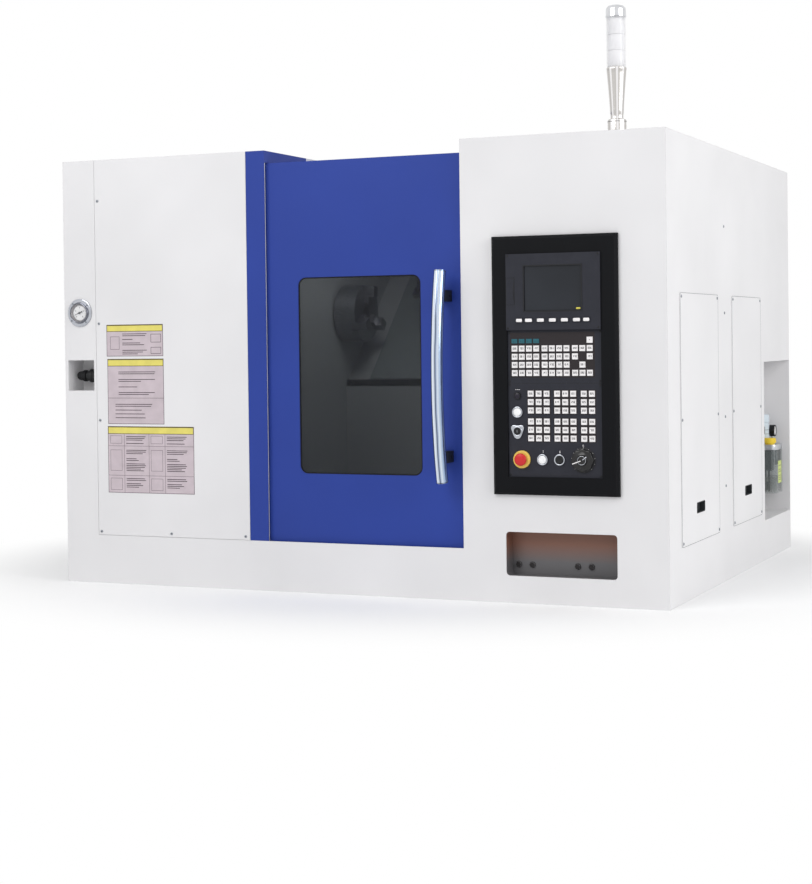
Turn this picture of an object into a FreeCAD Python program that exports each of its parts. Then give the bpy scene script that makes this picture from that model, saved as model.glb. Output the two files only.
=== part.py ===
"""A slant-bed turning lathe in a closed sheet-metal cabinet.

Lengths are millimetres and angles degrees.  Most pieces are drawn in machine
coordinates: x from the left end, y back from the front skin, z up from the
floor.  Pieces on the slanted bed are drawn in slide coordinates: x as before,
s up the slope and n square to it, both from the spindle axis.  The part's
origin is on the floor, under the middle of the whole box.
"""
import FreeCAD, Part
import math
import os
import Sketcher

SIZES = [
    # Front of the cabinet, from left to right
    ("column_width", 131, "white column at the left end"),
    ("cover_width", 611, "screwed cover over the headstock"),
    ("post_width", 71, "blue post beside the door"),
    ("opening_width", 715, "door opening"),
    ("cabinet_width", 687, "control cabinet at the right end"),
    ("machine_depth", 1818, "front skin to rear panel"),
    ("machine_height", 1500, "floor to the roofs of both ends"),
    ("base_height", 170, "white strip below the door"),
    ("sheet", 3, "skins, covers and bulkheads"),
    ("seam", 1, "gap around a screwed cover"),
    ("frame_bar", 60, "flat bars behind the left cover"),
    ("frame_thickness", 10, "flat bars behind the left cover"),
    ("frame_lap", 6, "how far the bars reach behind the column"),
    ("roof_drop", 46, "work-area roof below the end roofs"),
    ("post_return", 320, "blue side wall above the door"),
    # Sliding door
    ("door_setback", 16.5, "door face behind the front skin"),
    ("door_drop", 42.5, "door top below the end roofs"),
    ("door_thickness", 30, "folded door panel"),
    ("door_sheet", 2, "metal of the door panel"),
    ("door_lap", 25, "door behind the post"),
    ("door_dip", 12, "door behind the base strip"),
    ("door_clearance", 2, "door to cabinet"),
    ("window_offset", 116, "post edge to window"),
    ("window_width", 450, "seen glass"),
    ("window_height", 663, "seen glass"),
    ("window_bottom", 402, "floor to seen glass"),
    ("window_radius", 28, "corner of the seen glass"),
    ("window_lap", 22, "glass behind the door sheet"),
    ("glass_thickness", 8, "door glass"),
    ("gasket_lip", 4, "black seal seen round the glass"),
    ("gasket_thickness", 3, "black seal behind the door sheet"),
    ("handle_diameter", 40, "door handle tube"),
    ("handle_length", 688, "door handle, end to end"),
    ("handle_bottom", 386, "floor to the handle's lower end"),
    ("handle_inset", 54, "handle axis from the cabinet"),
    ("handle_stand", 61.5, "door face to handle axis at its ends"),
    ("handle_bow", 36, "extra reach at the handle's middle"),
    ("block_width", 32, "black blocks under the handle"),
    ("block_height", 37, "black blocks under the handle"),
    ("block_inset", 82, "handle end to block middle"),
    # Door guides
    ("slide_gap", 0.3, "between a runner and its guide"),
    ("header_height", 60, "beam that carries the door rail"),
    ("header_depth", 45, "beam that carries the door rail"),
    ("rail_width", 20, "door rail"),
    ("rail_depth", 16, "door rail"),
    ("runner_length", 80, "door runners"),
    ("runner_wall", 12, "door runners around the rail"),
    ("runner_inset", 60, "door edge to runner"),
    ("door_room", 12.5, "behind the door up to the guides"),
    ("sill_drop", 22, "sill below the base strip's edge"),
    ("sill_rise", 38, "rear lip of the sill"),
    ("shoe_height", 20, "lower guide shoes"),
    # Openings and units on the front skin
    ("recess_left", 13, "square recess in the white column"),
    ("recess_width", 108, "square recess in the white column"),
    ("recess_bottom", 683, "floor to the recess"),
    ("recess_depth", 95, "square recess in the white column"),
    ("gauge_height", 960, "floor to the pressure gauge's middle"),
    ("gauge_radius", 50, "flange of the pressure gauge"),
    ("gauge_flange", 4, "flange of the pressure gauge"),
    ("gauge_dial_radius", 33, "dial of the pressure gauge"),
    ("gauge_case_radius", 36, "case behind the flange"),
    ("gauge_case_depth", 45, "case behind the flange"),
    ("gauge_bezel", 12, "gauge rim in front of the skin"),
    ("gauge_face", 2, "dial in front of the skin"),
    ("needle_rise", 3, "needle in front of the dial"),
    ("needle_thickness", 1, "pressure gauge needle"),
    ("needle_hub", 4, "pressure gauge needle hub"),
    ("needle_pin", 1.5, "pressure gauge needle pin"),
    ("needle_width", 3, "pressure gauge needle"),
    ("needle_length", 24, "pressure gauge needle"),
    ("regulator_radius", 24, "air regulator body"),
    ("regulator_length", 62, "air regulator body"),
    ("regulator_height", 52, "recess floor to regulator axis"),
    ("regulator_depth", 55, "front skin to regulator axis"),
    ("knob_radius", 23, "air regulator knob"),
    ("knob_length", 26, "air regulator knob"),
    ("knob_gap", 14, "bare stem beside the knob"),
    ("pocket_left", 147, "cabinet edge to the pocket"),
    ("pocket_width", 372, "pocket under the control panel"),
    ("pocket_height", 141, "pocket under the control panel"),
    ("pocket_bottom", 88, "floor to the pocket"),
    ("pocket_radius", 12, "pocket corners"),
    ("pocket_depth", 60, "pocket under the control panel"),
    ("pocket_bolt_radius", 9, "bolt heads in the pocket"),
    ("pocket_bolt_height", 6, "bolt heads in the pocket"),
    ("pocket_bolt_rise", 30, "pocket floor to the bolts"),
    ("pocket_bolt_left", 22, "pocket edge to the first bolt"),
    ("pocket_bolt_pitch", 46, "between a pair of bolts"),
    ("pocket_pair_pitch", 200, "between the pairs of bolts"),
    ("panel_left", 112, "cabinet edge to the control panel"),
    ("panel_bottom", 350, "floor to the control panel"),
    ("panel_side", 53, "black frame beside the units"),
    ("panel_end", 58, "black frame above and below the units"),
    ("panel_proud", 20, "control panel in front of the skin"),
    ("panel_bevel", 9, "edge of the black frame"),
    ("panel_step", 6, "units behind the frame's face"),
    ("unit_width", 314, "display and key units"),
    ("display_height", 243, "display unit"),
    ("keyboard_height", 169, "keyboard unit"),
    ("operator_height", 300, "operator unit"),
    ("display_rise", 12, "display unit in front of the others"),
    ("screen_width", 190, "display glass"),
    ("screen_height", 142, "display glass"),
    ("screen_top", 40, "unit top to the glass"),
    ("screen_depth", 4, "screen behind the bezel"),
    ("key_size", 19, "square keys"),
    ("key_rise", 2.5, "keys above their unit"),
    ("soft_key_width", 26, "keys below the screen"),
    ("soft_key_height", 13, "keys below the screen"),
    ("soft_key_pitch", 40, "keys below the screen"),
    ("soft_key_end", 112, "unit middle to the end keys"),
    ("soft_key_bottom", 31, "unit bottom to the key middles"),
    ("key_left", 24, "unit left to the first column"),
    ("key_top", 33, "unit top to the first row"),
    ("key_column_pitch", 24.4, "keyboard columns"),
    ("key_group_gap", 3.6, "more after every fourth column"),
    ("key_row_pitch", 26, "keyboard rows"),
    ("operator_pitch", 26.7, "operator keys, both ways"),
    ("operator_gap", 8.5, "extra gap between key groups"),
    ("button_radius", 17.5, "round push buttons"),
    ("button_cap", 13, "moving cap of a push button"),
    ("button_rise", 9, "push buttons above the unit"),
    ("button_travel", 3, "push button stroke"),
    ("button_stem", 8, "stem radius of every button and knob"),
    ("button_bezel", 5, "fixed ring of a button above the unit"),
    ("button_room", 0.5, "button cap to its ring and to the unit"),
    ("indicator_radius", 6, "small indicator"),
    ("left_column", 32, "unit edge to the left column of buttons"),
    ("indicator_drop", 41, "unit top to the indicator"),
    ("mode_drop", 93, "unit top to the white button"),
    ("key_drop", 154, "unit top to the key switch"),
    ("key_barrel", 10, "key switch barrel"),
    ("stop_left", 45, "unit edge to the emergency stop"),
    ("start_left", 115, "unit edge to the start button"),
    ("halt_left", 172, "unit edge to the stop button"),
    ("wheel_left", 250, "unit edge to the override wheel"),
    ("operator_left", 77, "unit edge to the operator keys"),
    ("operator_drop", 34, "unit top to the operator keys"),
    ("stop_radius", 20, "emergency stop mushroom"),
    ("stop_ring_radius", 28.5, "yellow ring"),
    ("stop_rise", 24, "emergency stop above the unit"),
    ("wheel_radius", 38, "override hand wheel"),
    ("wheel_rise", 20, "override hand wheel"),
    ("lower_row", 56, "unit's lower edge to the lower buttons"),
    ("fit_gap", 0.05, "radial running clearance"),
    # Right side
    ("side_cover_bottom", 178, "floor to the side covers"),
    ("side_cover_height", 813, "side covers"),
    ("side_cover_width", 493, "front side cover"),
    ("rear_cover_width", 453, "rear side cover"),
    ("side_cover_front", 145, "front skin to the first cover"),
    ("cover_spacing", 204, "between the side covers"),
    ("cover_corner", 6, "side cover corners"),
    ("cover_lap", 18, "side cover over its opening"),
    ("pull_width", 108, "recessed finger pulls"),
    ("pull_height", 36, "recessed finger pulls"),
    ("pull_depth", 18, "recessed finger pulls"),
    ("pull_wall", 2, "recessed finger pulls"),
    ("pull_bottom", 271, "floor to the finger pulls"),
    ("pull_offset", 184, "cover edge to the front pull"),
    ("rear_pull_offset", 176, "cover edge to the rear pull"),
    ("niche_front", 1356, "front skin to the rear niche"),
    ("niche_bottom", 150, "floor to the niche"),
    ("niche_height", 600, "rear niche"),
    ("niche_depth", 180, "rear niche"),
    ("screw_radius", 5, "cover screws"),
    ("screw_rise", 2.5, "cover screws"),
    ("screw_edge", 12, "cover edge to its screws"),
    # Central lubricator in the niche
    ("tank_width", 128, "lubricator tank along the wall"),
    ("tank_reach", 140, "lubricator tank out from the wall"),
    ("tank_height", 172, "lubricator tank"),
    ("tank_bottom", 223, "floor to the lubricator tank"),
    ("tank_radius", 22, "lubricator tank corners"),
    ("tank_offset", 322, "niche front to the tank"),
    ("tank_wall_gap", 15, "bracket between wall and tank"),
    ("lid_height", 22, "lubricator top plate"),
    ("pump_radius", 30, "lubricator pump motor"),
    ("pump_height", 118, "lubricator pump motor"),
    ("pump_inset", 70, "tank front to the pump's axis"),
    ("cap_inset", 30, "tank front to the filler cap's axis"),
    ("lube_gauge_inset", 20, "tank front to the gauge"),
    ("lube_gauge_rise", 52, "top plate to the gauge's axis"),
    ("lube_gauge_length", 25, "gauge on the lubricator"),
    ("lube_stem", 6, "stem under the gauge"),
    ("tank_wall", 3, "lubricator tank"),
    ("lube_gauge_radius", 23, "gauge on the lubricator"),
    ("lube_cap_radius", 24, "lubricator filler cap"),
    ("lube_cap_height", 26, "lubricator filler cap"),
    # Stack light
    ("light_x", 188, "right end to the stack light"),
    ("light_y", 110, "front skin to the stack light"),
    ("light_radius", 33, "clear tube"),
    ("light_wall", 3, "clear tube"),
    ("light_height", 162, "clear tube"),
    ("light_cap_height", 38, "cap of the stack light"),
    ("light_neck_radius", 22, "lower end of the tapered neck"),
    ("light_neck_height", 145, "tapered neck"),
    ("light_foot_radius", 31.5, "foot of the stack light"),
    ("light_foot_height", 45, "foot of the stack light"),
    ("light_stem_height", 19, "stem above the foot"),
    # Frame, bed and headstock
    ("foot_height", 30, "levelling feet"),
    ("foot_radius", 45, "levelling feet"),
    ("frame_height", 30, "base frame"),
    ("frame_beam", 110, "members of the base frame"),
    ("spindle_back", 620, "front skin to the spindle axis"),
    ("spindle_height", 950, "floor to the spindle axis"),
    ("slant", 45, "slope of the bed"),
    ("bed_drop", 250, "spindle axis to the bed's slope"),
    ("bed_low", 230, "spindle axis down to the slope's lower end"),
    ("bed_high", 330, "spindle axis up to the slope's upper end"),
    ("bed_left", 180, "left end to the bed"),
    ("bed_overrun", 17, "bed beyond the door opening"),
    ("bed_rear", 1180, "front skin to the bed's back"),
    ("bed_wall", 36, "bed casting"),
    ("way_width", 36, "box ways"),
    ("way_height", 28, "box ways"),
    ("way_low", 110, "spindle axis down to the lower way"),
    ("way_high", 190, "spindle axis up to the upper way"),
    ("head_left", 330, "left end to the headstock"),
    ("head_length", 460, "headstock"),
    ("head_half", 165, "headstock half width on the slope"),
    ("head_top", 125, "spindle axis to the headstock's top"),
    ("head_chamfer", 60, "headstock top edges"),
    ("bearing_outer", 75, "bearing outer radius"),
    ("bearing_width", 60, "spindle bearings"),
    ("bearing_inset", 10, "headstock face to the bearings"),
    ("spindle_radius", 50, "spindle in its bearings"),
    ("spindle_bore", 26, "through hole of the spindle"),
    ("nose_radius", 80, "spindle nose"),
    ("nose_gap", 1.5, "headstock to the spindle nose"),
    ("nose_length", 30, "spindle nose"),
    ("pulley_radius", 90, "spindle pulley"),
    ("pulley_width", 60, "both pulleys"),
    ("pulley_gap", 30, "headstock to the pulleys"),
    ("actuator_radius", 78, "chuck cylinder at the spindle's rear"),
    ("actuator_length", 100, "chuck cylinder"),
    ("chuck_radius", 105, "chuck"),
    ("chuck_length", 83, "chuck"),
    ("chuck_slot", 20, "jaw slots in the chuck"),
    ("jaw_width", 34, "chuck jaws"),
    ("jaw_length", 58, "chuck jaws along the spindle"),
    ("jaw_inner", 38, "spindle axis to a jaw"),
    ("jaw_outer", 98, "spindle axis to a jaw's back"),
    ("jaw_step", 22, "step of a jaw"),
    ("motor_radius", 105, "spindle motor"),
    ("motor_length", 330, "spindle motor"),
    ("motor_back", 330, "front skin to the motor axis"),
    ("motor_height", 420, "floor to the motor axis"),
    ("motor_pulley_radius", 60, "motor pulley"),
    ("motor_shaft", 24, "motor shaft radius"),
    ("belt_thickness", 7, "drive belt"),
    ("belt_width", 50, "drive belt"),
    # Saddle, cross slide and turret
    ("saddle_left", 1150, "left end to the saddle"),
    ("saddle_length", 210, "saddle along the bed"),
    ("saddle_low", 150, "spindle axis down to the saddle's edge"),
    ("saddle_high", 455, "spindle axis up to the saddle's edge"),
    ("saddle_bottom", 205, "spindle axis to the saddle's underside"),
    ("saddle_top", 150, "spindle axis to the saddle's top"),
    ("shoe_width", 70, "saddle runners on the ways"),
    ("screw_offset", 40, "spindle axis up to the long screw"),
    ("screw_drop", 227, "spindle axis to the long screw"),
    ("long_screw_radius", 16, "long ball screw"),
    ("nut_half", 28, "ball screw nuts"),
    ("screw_block", 30, "ball screw bearing blocks"),
    ("servo_half", 55, "long screw motor"),
    ("servo_length", 150, "long screw motor"),
    ("cross_rail_width", 23, "cross rails"),
    ("cross_rail_height", 22, "cross rails"),
    ("cross_rail_start", 88, "spindle axis up to the cross rails"),
    ("cross_position", 270, "spindle axis up to the turret axis"),
    ("cross_half", 100, "cross slide half length"),
    ("cross_bottom", 118, "spindle axis to the cross slide plate"),
    ("cross_top", 90, "spindle axis to the plate's top"),
    ("short_screw_drop", 133, "spindle axis to the cross screw"),
    ("short_screw_radius", 9, "cross ball screw"),
    ("cross_servo_half", 40, "cross screw motor"),
    ("cross_servo_length", 105, "cross screw motor"),
    ("turret_half", 80, "turret housing half size"),
    ("turret_gap", 6, "turret disc to its housing"),
    ("disc_radius", 138, "turret disc, centre to flats"),
    ("disc_width", 68, "turret disc"),
    ("disc_shaft", 40, "turret shaft"),
    ("tool_height", 34, "tool holders on the turret"),
    ("tool_width", 46, "tool holders on the turret"),
    ("tool_shank", 20, "turning tools"),
    ("tool_reach", 14, "turning tools beyond their holders"),
    ("guard_gap", 0.7, "way covers sliding over each other"),
    ("guard_drop", 200, "spindle axis to the fixed way cover"),
    ("guard_length", 250, "sliding way covers"),
    ("slot_gap", 2, "right way cover to its bulkhead"),
    # Work-area tub and what stands in the base
    ("tub_bottom", 150, "floor to the chip pan"),
    ("tub_front", 210, "front skin to the pan's flat bottom"),
    ("tub_rear_rise", 680, "floor to the pan's rear edge"),
    ("coolant_height", 80, "coolant tank"),
    ("coolant_depth", 500, "coolant tank"),
    ("electric_width", 420, "electrical cabinet"),
    ("electric_depth", 380, "electrical cabinet"),
    ("electric_height", 1150, "electrical cabinet"),
    ("hydraulic_width", 320, "hydraulic unit"),
    ("hydraulic_depth", 300, "hydraulic unit"),
    ("hydraulic_height", 240, "hydraulic unit's tank"),
    ("hydraulic_pump_radius", 70, "hydraulic unit's motor"),
    ("hydraulic_pump_height", 230, "hydraulic unit's motor"),
]


class Size:
    """A number with the sheet expression that works it out."""

    def __init__(self, value, text):
        self.value = float(value)
        self.text = text

    def __add__(self, other):
        return combine(self, "+", other)

    def __radd__(self, other):
        return combine(other, "+", self)

    def __sub__(self, other):
        return combine(self, "-", other)

    def __rsub__(self, other):
        return combine(other, "-", self)

    def __mul__(self, other):
        return combine(self, "*", other)

    def __rmul__(self, other):
        return combine(other, "*", self)

    def __truediv__(self, other):
        return combine(self, "/", other)

    def __rtruediv__(self, other):
        return combine(other, "/", self)

    def __neg__(self):
        return combine(0, "-", self)


def as_size(number):
    """Plain numbers join the expressions as they are."""
    return number if isinstance(number, Size) else Size(number, "(%s)" % number)


def combine(left, sign, right):
    """Join two sizes, both as numbers and as expressions."""
    left, right = as_size(left), as_size(right)
    results = {
        "+": lambda: left.value + right.value,
        "-": lambda: left.value - right.value,
        "*": lambda: left.value * right.value,
        "/": lambda: left.value / right.value,
    }
    return Size(results[sign](), "(%s %s %s)" % (left.text, sign, right.text))


def sine(angle):
    return Size(math.sin(math.radians(angle.value)), "sin(%s)" % angle.text)


def cosine(angle):
    return Size(math.cos(math.radians(angle.value)), "cos(%s)" % angle.text)


def arcsine(ratio):
    return Size(math.degrees(math.asin(ratio.value)), "asin(%s)" % ratio.text)


class SizeSheet:
    """The document's spreadsheet, read as attributes."""

    def __init__(self, document, rows):
        self.table = document.addObject("Spreadsheet::Sheet", "Sizes")
        for row, (alias, value, note) in enumerate(rows, 1):
            self.table.set("A%d" % row, note)
            self.table.set("B%d" % row, str(value))
            self.table.setAlias("B%d" % row, alias)
        document.recompute()

    def __getattr__(self, alias):
        return Size(self.table.get(alias), "Sizes." + alias)


# Directions of the origin planes: where the sketch's normal points, and the
# sign that turns a level on the machine's axis into an attachment offset.
PLANES = {"XY_Plane": 1, "XZ_Plane": -1, "YZ_Plane": 1}


def bind(thing, path, value):
    thing.setExpression(path, as_size(value).text)


class Profile:
    """A sketch whose points and radii are bound to the sheet."""

    def __init__(self, sketch):
        self.sketch = sketch
        self.constraints = []
        self.bindings = []

    def constrain(self, kind, *items):
        """Note a constraint; a Size as the last item is bound to its expression."""
        if isinstance(items[-1], Size):
            self.bindings.append((len(self.constraints), items[-1]))
            items = items[:-1] + (items[-1].value,)
        self.constraints.append(Sketcher.Constraint(kind, *items))

    def finish(self):
        """Give the sketch all its constraints in one step."""
        self.sketch.addConstraint(self.constraints)
        for number, value in self.bindings:
            bind(self.sketch, "Constraints[%d]" % number, value)

    def fix(self, geometry, end, point):
        self.constrain("DistanceX", -1, 1, geometry, end, as_size(point[0]))
        self.constrain("DistanceY", -1, 1, geometry, end, as_size(point[1]))

    def line(self, start, end, construction=False):
        """A straight line between two pairs of sizes."""
        segment = Part.LineSegment(flat_vector(start), flat_vector(end))
        return self.sketch.addGeometry(segment, construction)

    def arc(self, centre, radius, start, end):
        """An arc between two angles in radians."""
        circle = Part.Circle(flat_vector(centre), FreeCAD.Vector(0, 0, 1), radius.value)
        return self.sketch.addGeometry(Part.ArcOfCircle(circle, start, end), False)

    def polygon(self, points):
        points = [(as_size(u), as_size(v)) for u, v in points]
        first = self.sketch.GeometryCount
        count = len(points)
        for number, point in enumerate(points):
            self.line(point, points[(number + 1) % count])
            self.constrain("Coincident", first + number, 2, first + (number + 1) % count, 1)
            self.fix(first + number, 1, point)

    def rectangle(self, across, up):
        """Four sides: level and upright lines, fixed at two opposite corners."""
        u0, u1 = as_size(across[0]), as_size(across[1])
        v0, v1 = as_size(up[0]), as_size(up[1])
        first = self.sketch.GeometryCount
        corners = [(u0, v0), (u1, v0), (u1, v1), (u0, v1)]
        for number, corner in enumerate(corners):
            self.line(corner, corners[(number + 1) % 4])
            self.constrain("Coincident", first + number, 2, first + (number + 1) % 4, 1)
            self.constrain("Horizontal" if number % 2 == 0 else "Vertical", first + number)
        self.fix(first, 1, (u0, v0))
        self.fix(first + 2, 1, (u1, v1))

    def rounded(self, across, up, radius):
        """A rectangle whose corners are arcs of one radius."""
        u0, u1 = as_size(across[0]), as_size(across[1])
        v0, v1 = as_size(up[0]), as_size(up[1])
        radius = as_size(radius)
        first = self.sketch.GeometryCount
        centres = [
            (u1 - radius, v1 - radius), (u0 + radius, v1 - radius),
            (u0 + radius, v0 + radius), (u1 - radius, v0 + radius),
        ]
        sides = [
            ((u1 - radius, v1), (u0 + radius, v1)), ((u0, v1 - radius), (u0, v0 + radius)),
            ((u0 + radius, v0), (u1 - radius, v0)), ((u1, v0 + radius), (u1, v1 - radius)),
        ]
        for number, centre in enumerate(centres):
            start = number * math.pi / 2
            self.arc(centre, radius, start, start + math.pi / 2)
        for number, (start, end) in enumerate(sides):
            side = self.line(start, end)
            self.constrain("Tangent", first + number, 2, side, 1)
            self.constrain("Tangent", side, 2, first + (number + 1) % 4, 1)
            self.constrain("Horizontal" if number % 2 == 0 else "Vertical", side)
            if number:
                self.constrain("Equal", first, first + number)
        self.constrain("Radius", first, radius)
        self.constrain("DistanceY", -1, 1, first + 4, 1, v1)
        self.constrain("DistanceX", -1, 1, first + 5, 1, u0)
        self.constrain("DistanceY", -1, 1, first + 6, 1, v0)
        self.constrain("DistanceX", -1, 1, first + 7, 1, u1)

    def circle(self, centre, radius):
        centre = (as_size(centre[0]), as_size(centre[1]))
        radius = as_size(radius)
        circle = Part.Circle(flat_vector(centre), FreeCAD.Vector(0, 0, 1), radius.value)
        number = self.sketch.addGeometry(circle, False)
        self.fix(number, 3, centre)
        self.constrain("Radius", number, radius)

    def belt(self, big_centre, big, small_centre, small):
        """An open belt's outline round two circles."""
        across = small_centre[0].value - big_centre[0].value
        up = small_centre[1].value - big_centre[1].value
        line = math.atan2(up, across)
        spread = math.acos((big.value - small.value) / math.hypot(across, up))
        first = self.arc(big_centre, big, line + spread, line - spread + 2 * math.pi)
        self.arc(small_centre, small, line - spread, line + spread)

        def touch(centre, radius, angle):
            return (centre[0] + radius * math.cos(angle), centre[1] + radius * math.sin(angle))

        for number, turn in enumerate((line - spread, line + spread)):
            ends = [touch(big_centre, big, turn), touch(small_centre, small, turn)]
            side = self.line(*(ends if number == 0 else reversed(ends)))
            self.constrain("Tangent", first + number, 2, side, 1)
            self.constrain("Tangent", side, 2, first + 1 - number, 1)
        self.fix(first, 3, big_centre)
        self.fix(first + 1, 3, small_centre)
        self.constrain("Radius", first, big)
        self.constrain("Radius", first + 1, small)

    def axis(self, start, end):
        """A construction line to revolve about."""
        number = self.line([as_size(value) for value in start], [as_size(value) for value in end], True)
        self.fix(number, 1, start)
        self.fix(number, 2, end)


def flat_vector(point):
    return FreeCAD.Vector(point[0].value, point[1].value, 0)


class Solid:
    """A PartDesign body whose features run towards +X, +Y or +Z."""

    def __init__(self, label):
        self.body = document.addObject("PartDesign::Body", label)
        self.body.Label = label
        self.planes = {plane.Role: plane for plane in self.body.Origin.OriginFeatures}

    def profile(self, role, level):
        sketch = self.body.newObject("Sketcher::SketchObject", "Sketch")
        sketch.AttachmentSupport = [(self.planes[role], "")]
        sketch.MapMode = "FlatFace"
        bind(sketch, "AttachmentOffset.Base.z", as_size(level) * PLANES[role])
        return Profile(sketch)

    def pad(self, profile, length):
        profile.finish()
        feature = self.body.newObject("PartDesign::Pad", "Pad")
        feature.Profile = profile.sketch
        bind(feature, "Length", length)
        feature.Reversed = self.normal(profile) < 0
        return feature

    def pocket(self, profile, length):
        profile.finish()
        feature = self.body.newObject("PartDesign::Pocket", "Pocket")
        feature.Profile = profile.sketch
        bind(feature, "Length", length)
        feature.Reversed = self.normal(profile) > 0
        CUTS.append(feature)
        return feature

    def revolve(self, profile, angle=360):
        profile.finish()
        feature = self.body.newObject("PartDesign::Revolution", "Turned")
        feature.Profile = profile.sketch
        feature.ReferenceAxis = (profile.sketch, ["Axis0"])
        feature.Midplane = True
        bind(feature, "Angle", angle)
        return feature

    def around(self, feature, axis_role, count):
        """Repeat a feature round one of the body's own axes."""
        axes = {axis.Role: axis for axis in self.body.Origin.OriginFeatures}
        pattern = self.body.newObject("PartDesign::PolarPattern", "Ring")
        pattern.Originals = [feature]
        pattern.Axis = (axes[axis_role], [""])
        pattern.Angle = 360
        pattern.Occurrences = count
        self.body.Tip = pattern
        return pattern

    def normal(self, profile):
        role = profile.sketch.AttachmentSupport[0][0].Role
        return PLANES[role]


def put(piece, x=0, y=0, z=0, turn=None):
    """Place a piece at a point in machine coordinates."""
    if turn:
        piece.Placement = FreeCAD.Placement(
            FreeCAD.Vector(),
            FreeCAD.Rotation(FreeCAD.Vector(*turn[0]), turn[1]),
        )
    bind(piece, "Placement.Base.x", x - middle_x)
    bind(piece, "Placement.Base.y", y - middle_y)
    bind(piece, "Placement.Base.z", as_size(z))
    return piece


def put_on_slide(piece, x=0, s=0, n=0):
    """Place a piece at a point in slide coordinates, turned with the slope."""
    y = spindle_y + s * cosine(size.slant) - n * sine(size.slant)
    z = spindle_z + s * sine(size.slant) + n * cosine(size.slant)
    piece.Placement = FreeCAD.Placement(
        FreeCAD.Vector(), FreeCAD.Rotation(FreeCAD.Vector(1, 0, 0), size.slant.value)
    )
    bind(piece, "Placement.Rotation.Angle", size.slant)
    bind(piece, "Placement.Base.x", x - middle_x)
    bind(piece, "Placement.Base.y", y - middle_y)
    bind(piece, "Placement.Base.z", z)
    return piece


def box(label, x, y, z):
    """A box between pairs of machine coordinates."""
    piece = document.addObject("Part::Box", label)
    piece.Label = label
    bind(piece, "Length", x[1] - x[0])
    bind(piece, "Width", y[1] - y[0])
    bind(piece, "Height", z[1] - z[0])
    return put(piece, x[0], y[0], z[0])


def slide_box(label, x, s, n):
    """A box between pairs of slide coordinates."""
    piece = document.addObject("Part::Box", label)
    piece.Label = label
    bind(piece, "Length", x[1] - x[0])
    bind(piece, "Width", s[1] - s[0])
    bind(piece, "Height", n[1] - n[0])
    return put_on_slide(piece, x[0], s[0], n[0])


# How a cylinder or cone, drawn along Z, is turned onto each axis.
TURNS = {"X": ((0, 1, 0), 90), "-Y": ((1, 0, 0), 90), "Z": None}
# The needle points down to the left while the pressure is low.
NEEDLE_REST = ((0, 1, 0), -110)


def rod(label, direction, point, radius, length):
    """A cylinder from a point in machine coordinates."""
    piece = document.addObject("Part::Cylinder", label)
    piece.Label = label
    bind(piece, "Radius", radius)
    bind(piece, "Height", length)
    return put(piece, *point, turn=TURNS[direction])


def taper(label, direction, point, radii, length):
    """A cone from a point in machine coordinates."""
    piece = document.addObject("Part::Cone", label)
    piece.Label = label
    bind(piece, "Radius1", radii[0])
    bind(piece, "Radius2", radii[1])
    bind(piece, "Height", length)
    return put(piece, *point, turn=TURNS[direction])


def fuse(label, shapes):
    piece = document.addObject("Part::MultiFuse", label)
    piece.Label = label
    piece.Shapes = shapes
    piece.Refine = True
    return piece


def group(label, shapes):
    """Separate solids that share one node."""
    piece = document.addObject("Part::Compound", label)
    piece.Label = label
    piece.Links = shapes
    return piece


def cut(label, base, tools):
    piece = document.addObject("Part::Cut", label)
    piece.Label = label
    piece.Base = base
    piece.Tool = tools[0] if len(tools) == 1 else group(label + "_tools", tools)
    CUTS.append(piece)
    return piece


document = FreeCAD.newDocument("Lathe")
size = SizeSheet(document, SIZES)
CUTS = []
PIECES = []


def keep(*pieces):
    """Hand pieces to the export."""
    PIECES.extend(pieces)
    return pieces[0]

# Places that several pieces share, worked out from the sizes.
cover_left = size.column_width
post_left = cover_left + size.cover_width
opening_left = post_left + size.post_width
opening_right = opening_left + size.opening_width
width = opening_right + size.cabinet_width
depth = size.machine_depth
height = size.machine_height
sheet = size.sheet
door_face = size.door_setback
door_back = door_face + size.door_thickness
door_left = opening_left - size.door_lap
door_right = opening_right - size.door_clearance
door_bottom = size.base_height - size.door_dip
door_top = height - size.door_drop
guide_face = door_back + size.door_room
handle_reach = size.handle_stand + size.handle_bow + size.handle_diameter / 2 - door_face
middle_x = width / 2
middle_y = (depth - handle_reach) / 2
spindle_y = size.spindle_back
spindle_z = size.spindle_height
frame_top = size.foot_height + size.frame_height
roof = height - size.roof_drop
header_face = guide_face + size.rail_depth
header_bottom = roof - sheet - size.header_height
rail_z = header_bottom + size.header_height / 2
bed_front = spindle_y + (size.bed_drop * sine(size.slant) - size.bed_low * cosine(size.slant))
bed_right = opening_right + size.bed_overrun
head_right = size.head_left + size.head_length
nose_left = head_right + size.nose_gap
nose_right = nose_left + size.nose_length
chuck_face = nose_right + size.chuck_length
pulley_right = size.head_left - size.pulley_gap
pulley_left = pulley_right - size.pulley_width
saddle_right = size.saddle_left + size.saddle_length
saddle_middle = size.saddle_left + size.saddle_length / 2
panel_left = opening_right + size.panel_left
panel_width = size.unit_width + 2 * size.panel_side
panel_height = size.display_height + size.keyboard_height + size.operator_height + 2 * size.panel_end
unit_left = panel_left + size.panel_side
operator_bottom = size.panel_bottom + size.panel_end
keyboard_bottom = operator_bottom + size.operator_height
display_bottom = keyboard_bottom + size.keyboard_height
unit_face = size.panel_step - size.panel_proud
bulkhead_right = opening_right + sheet
gauge_x = size.column_width / 2


def slope_point(s, n):
    """Machine y and z of a point in slide coordinates."""
    y = spindle_y + s * cosine(size.slant) - n * sine(size.slant)
    z = spindle_z + s * sine(size.slant) + n * cosine(size.slant)
    return y, z


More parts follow.
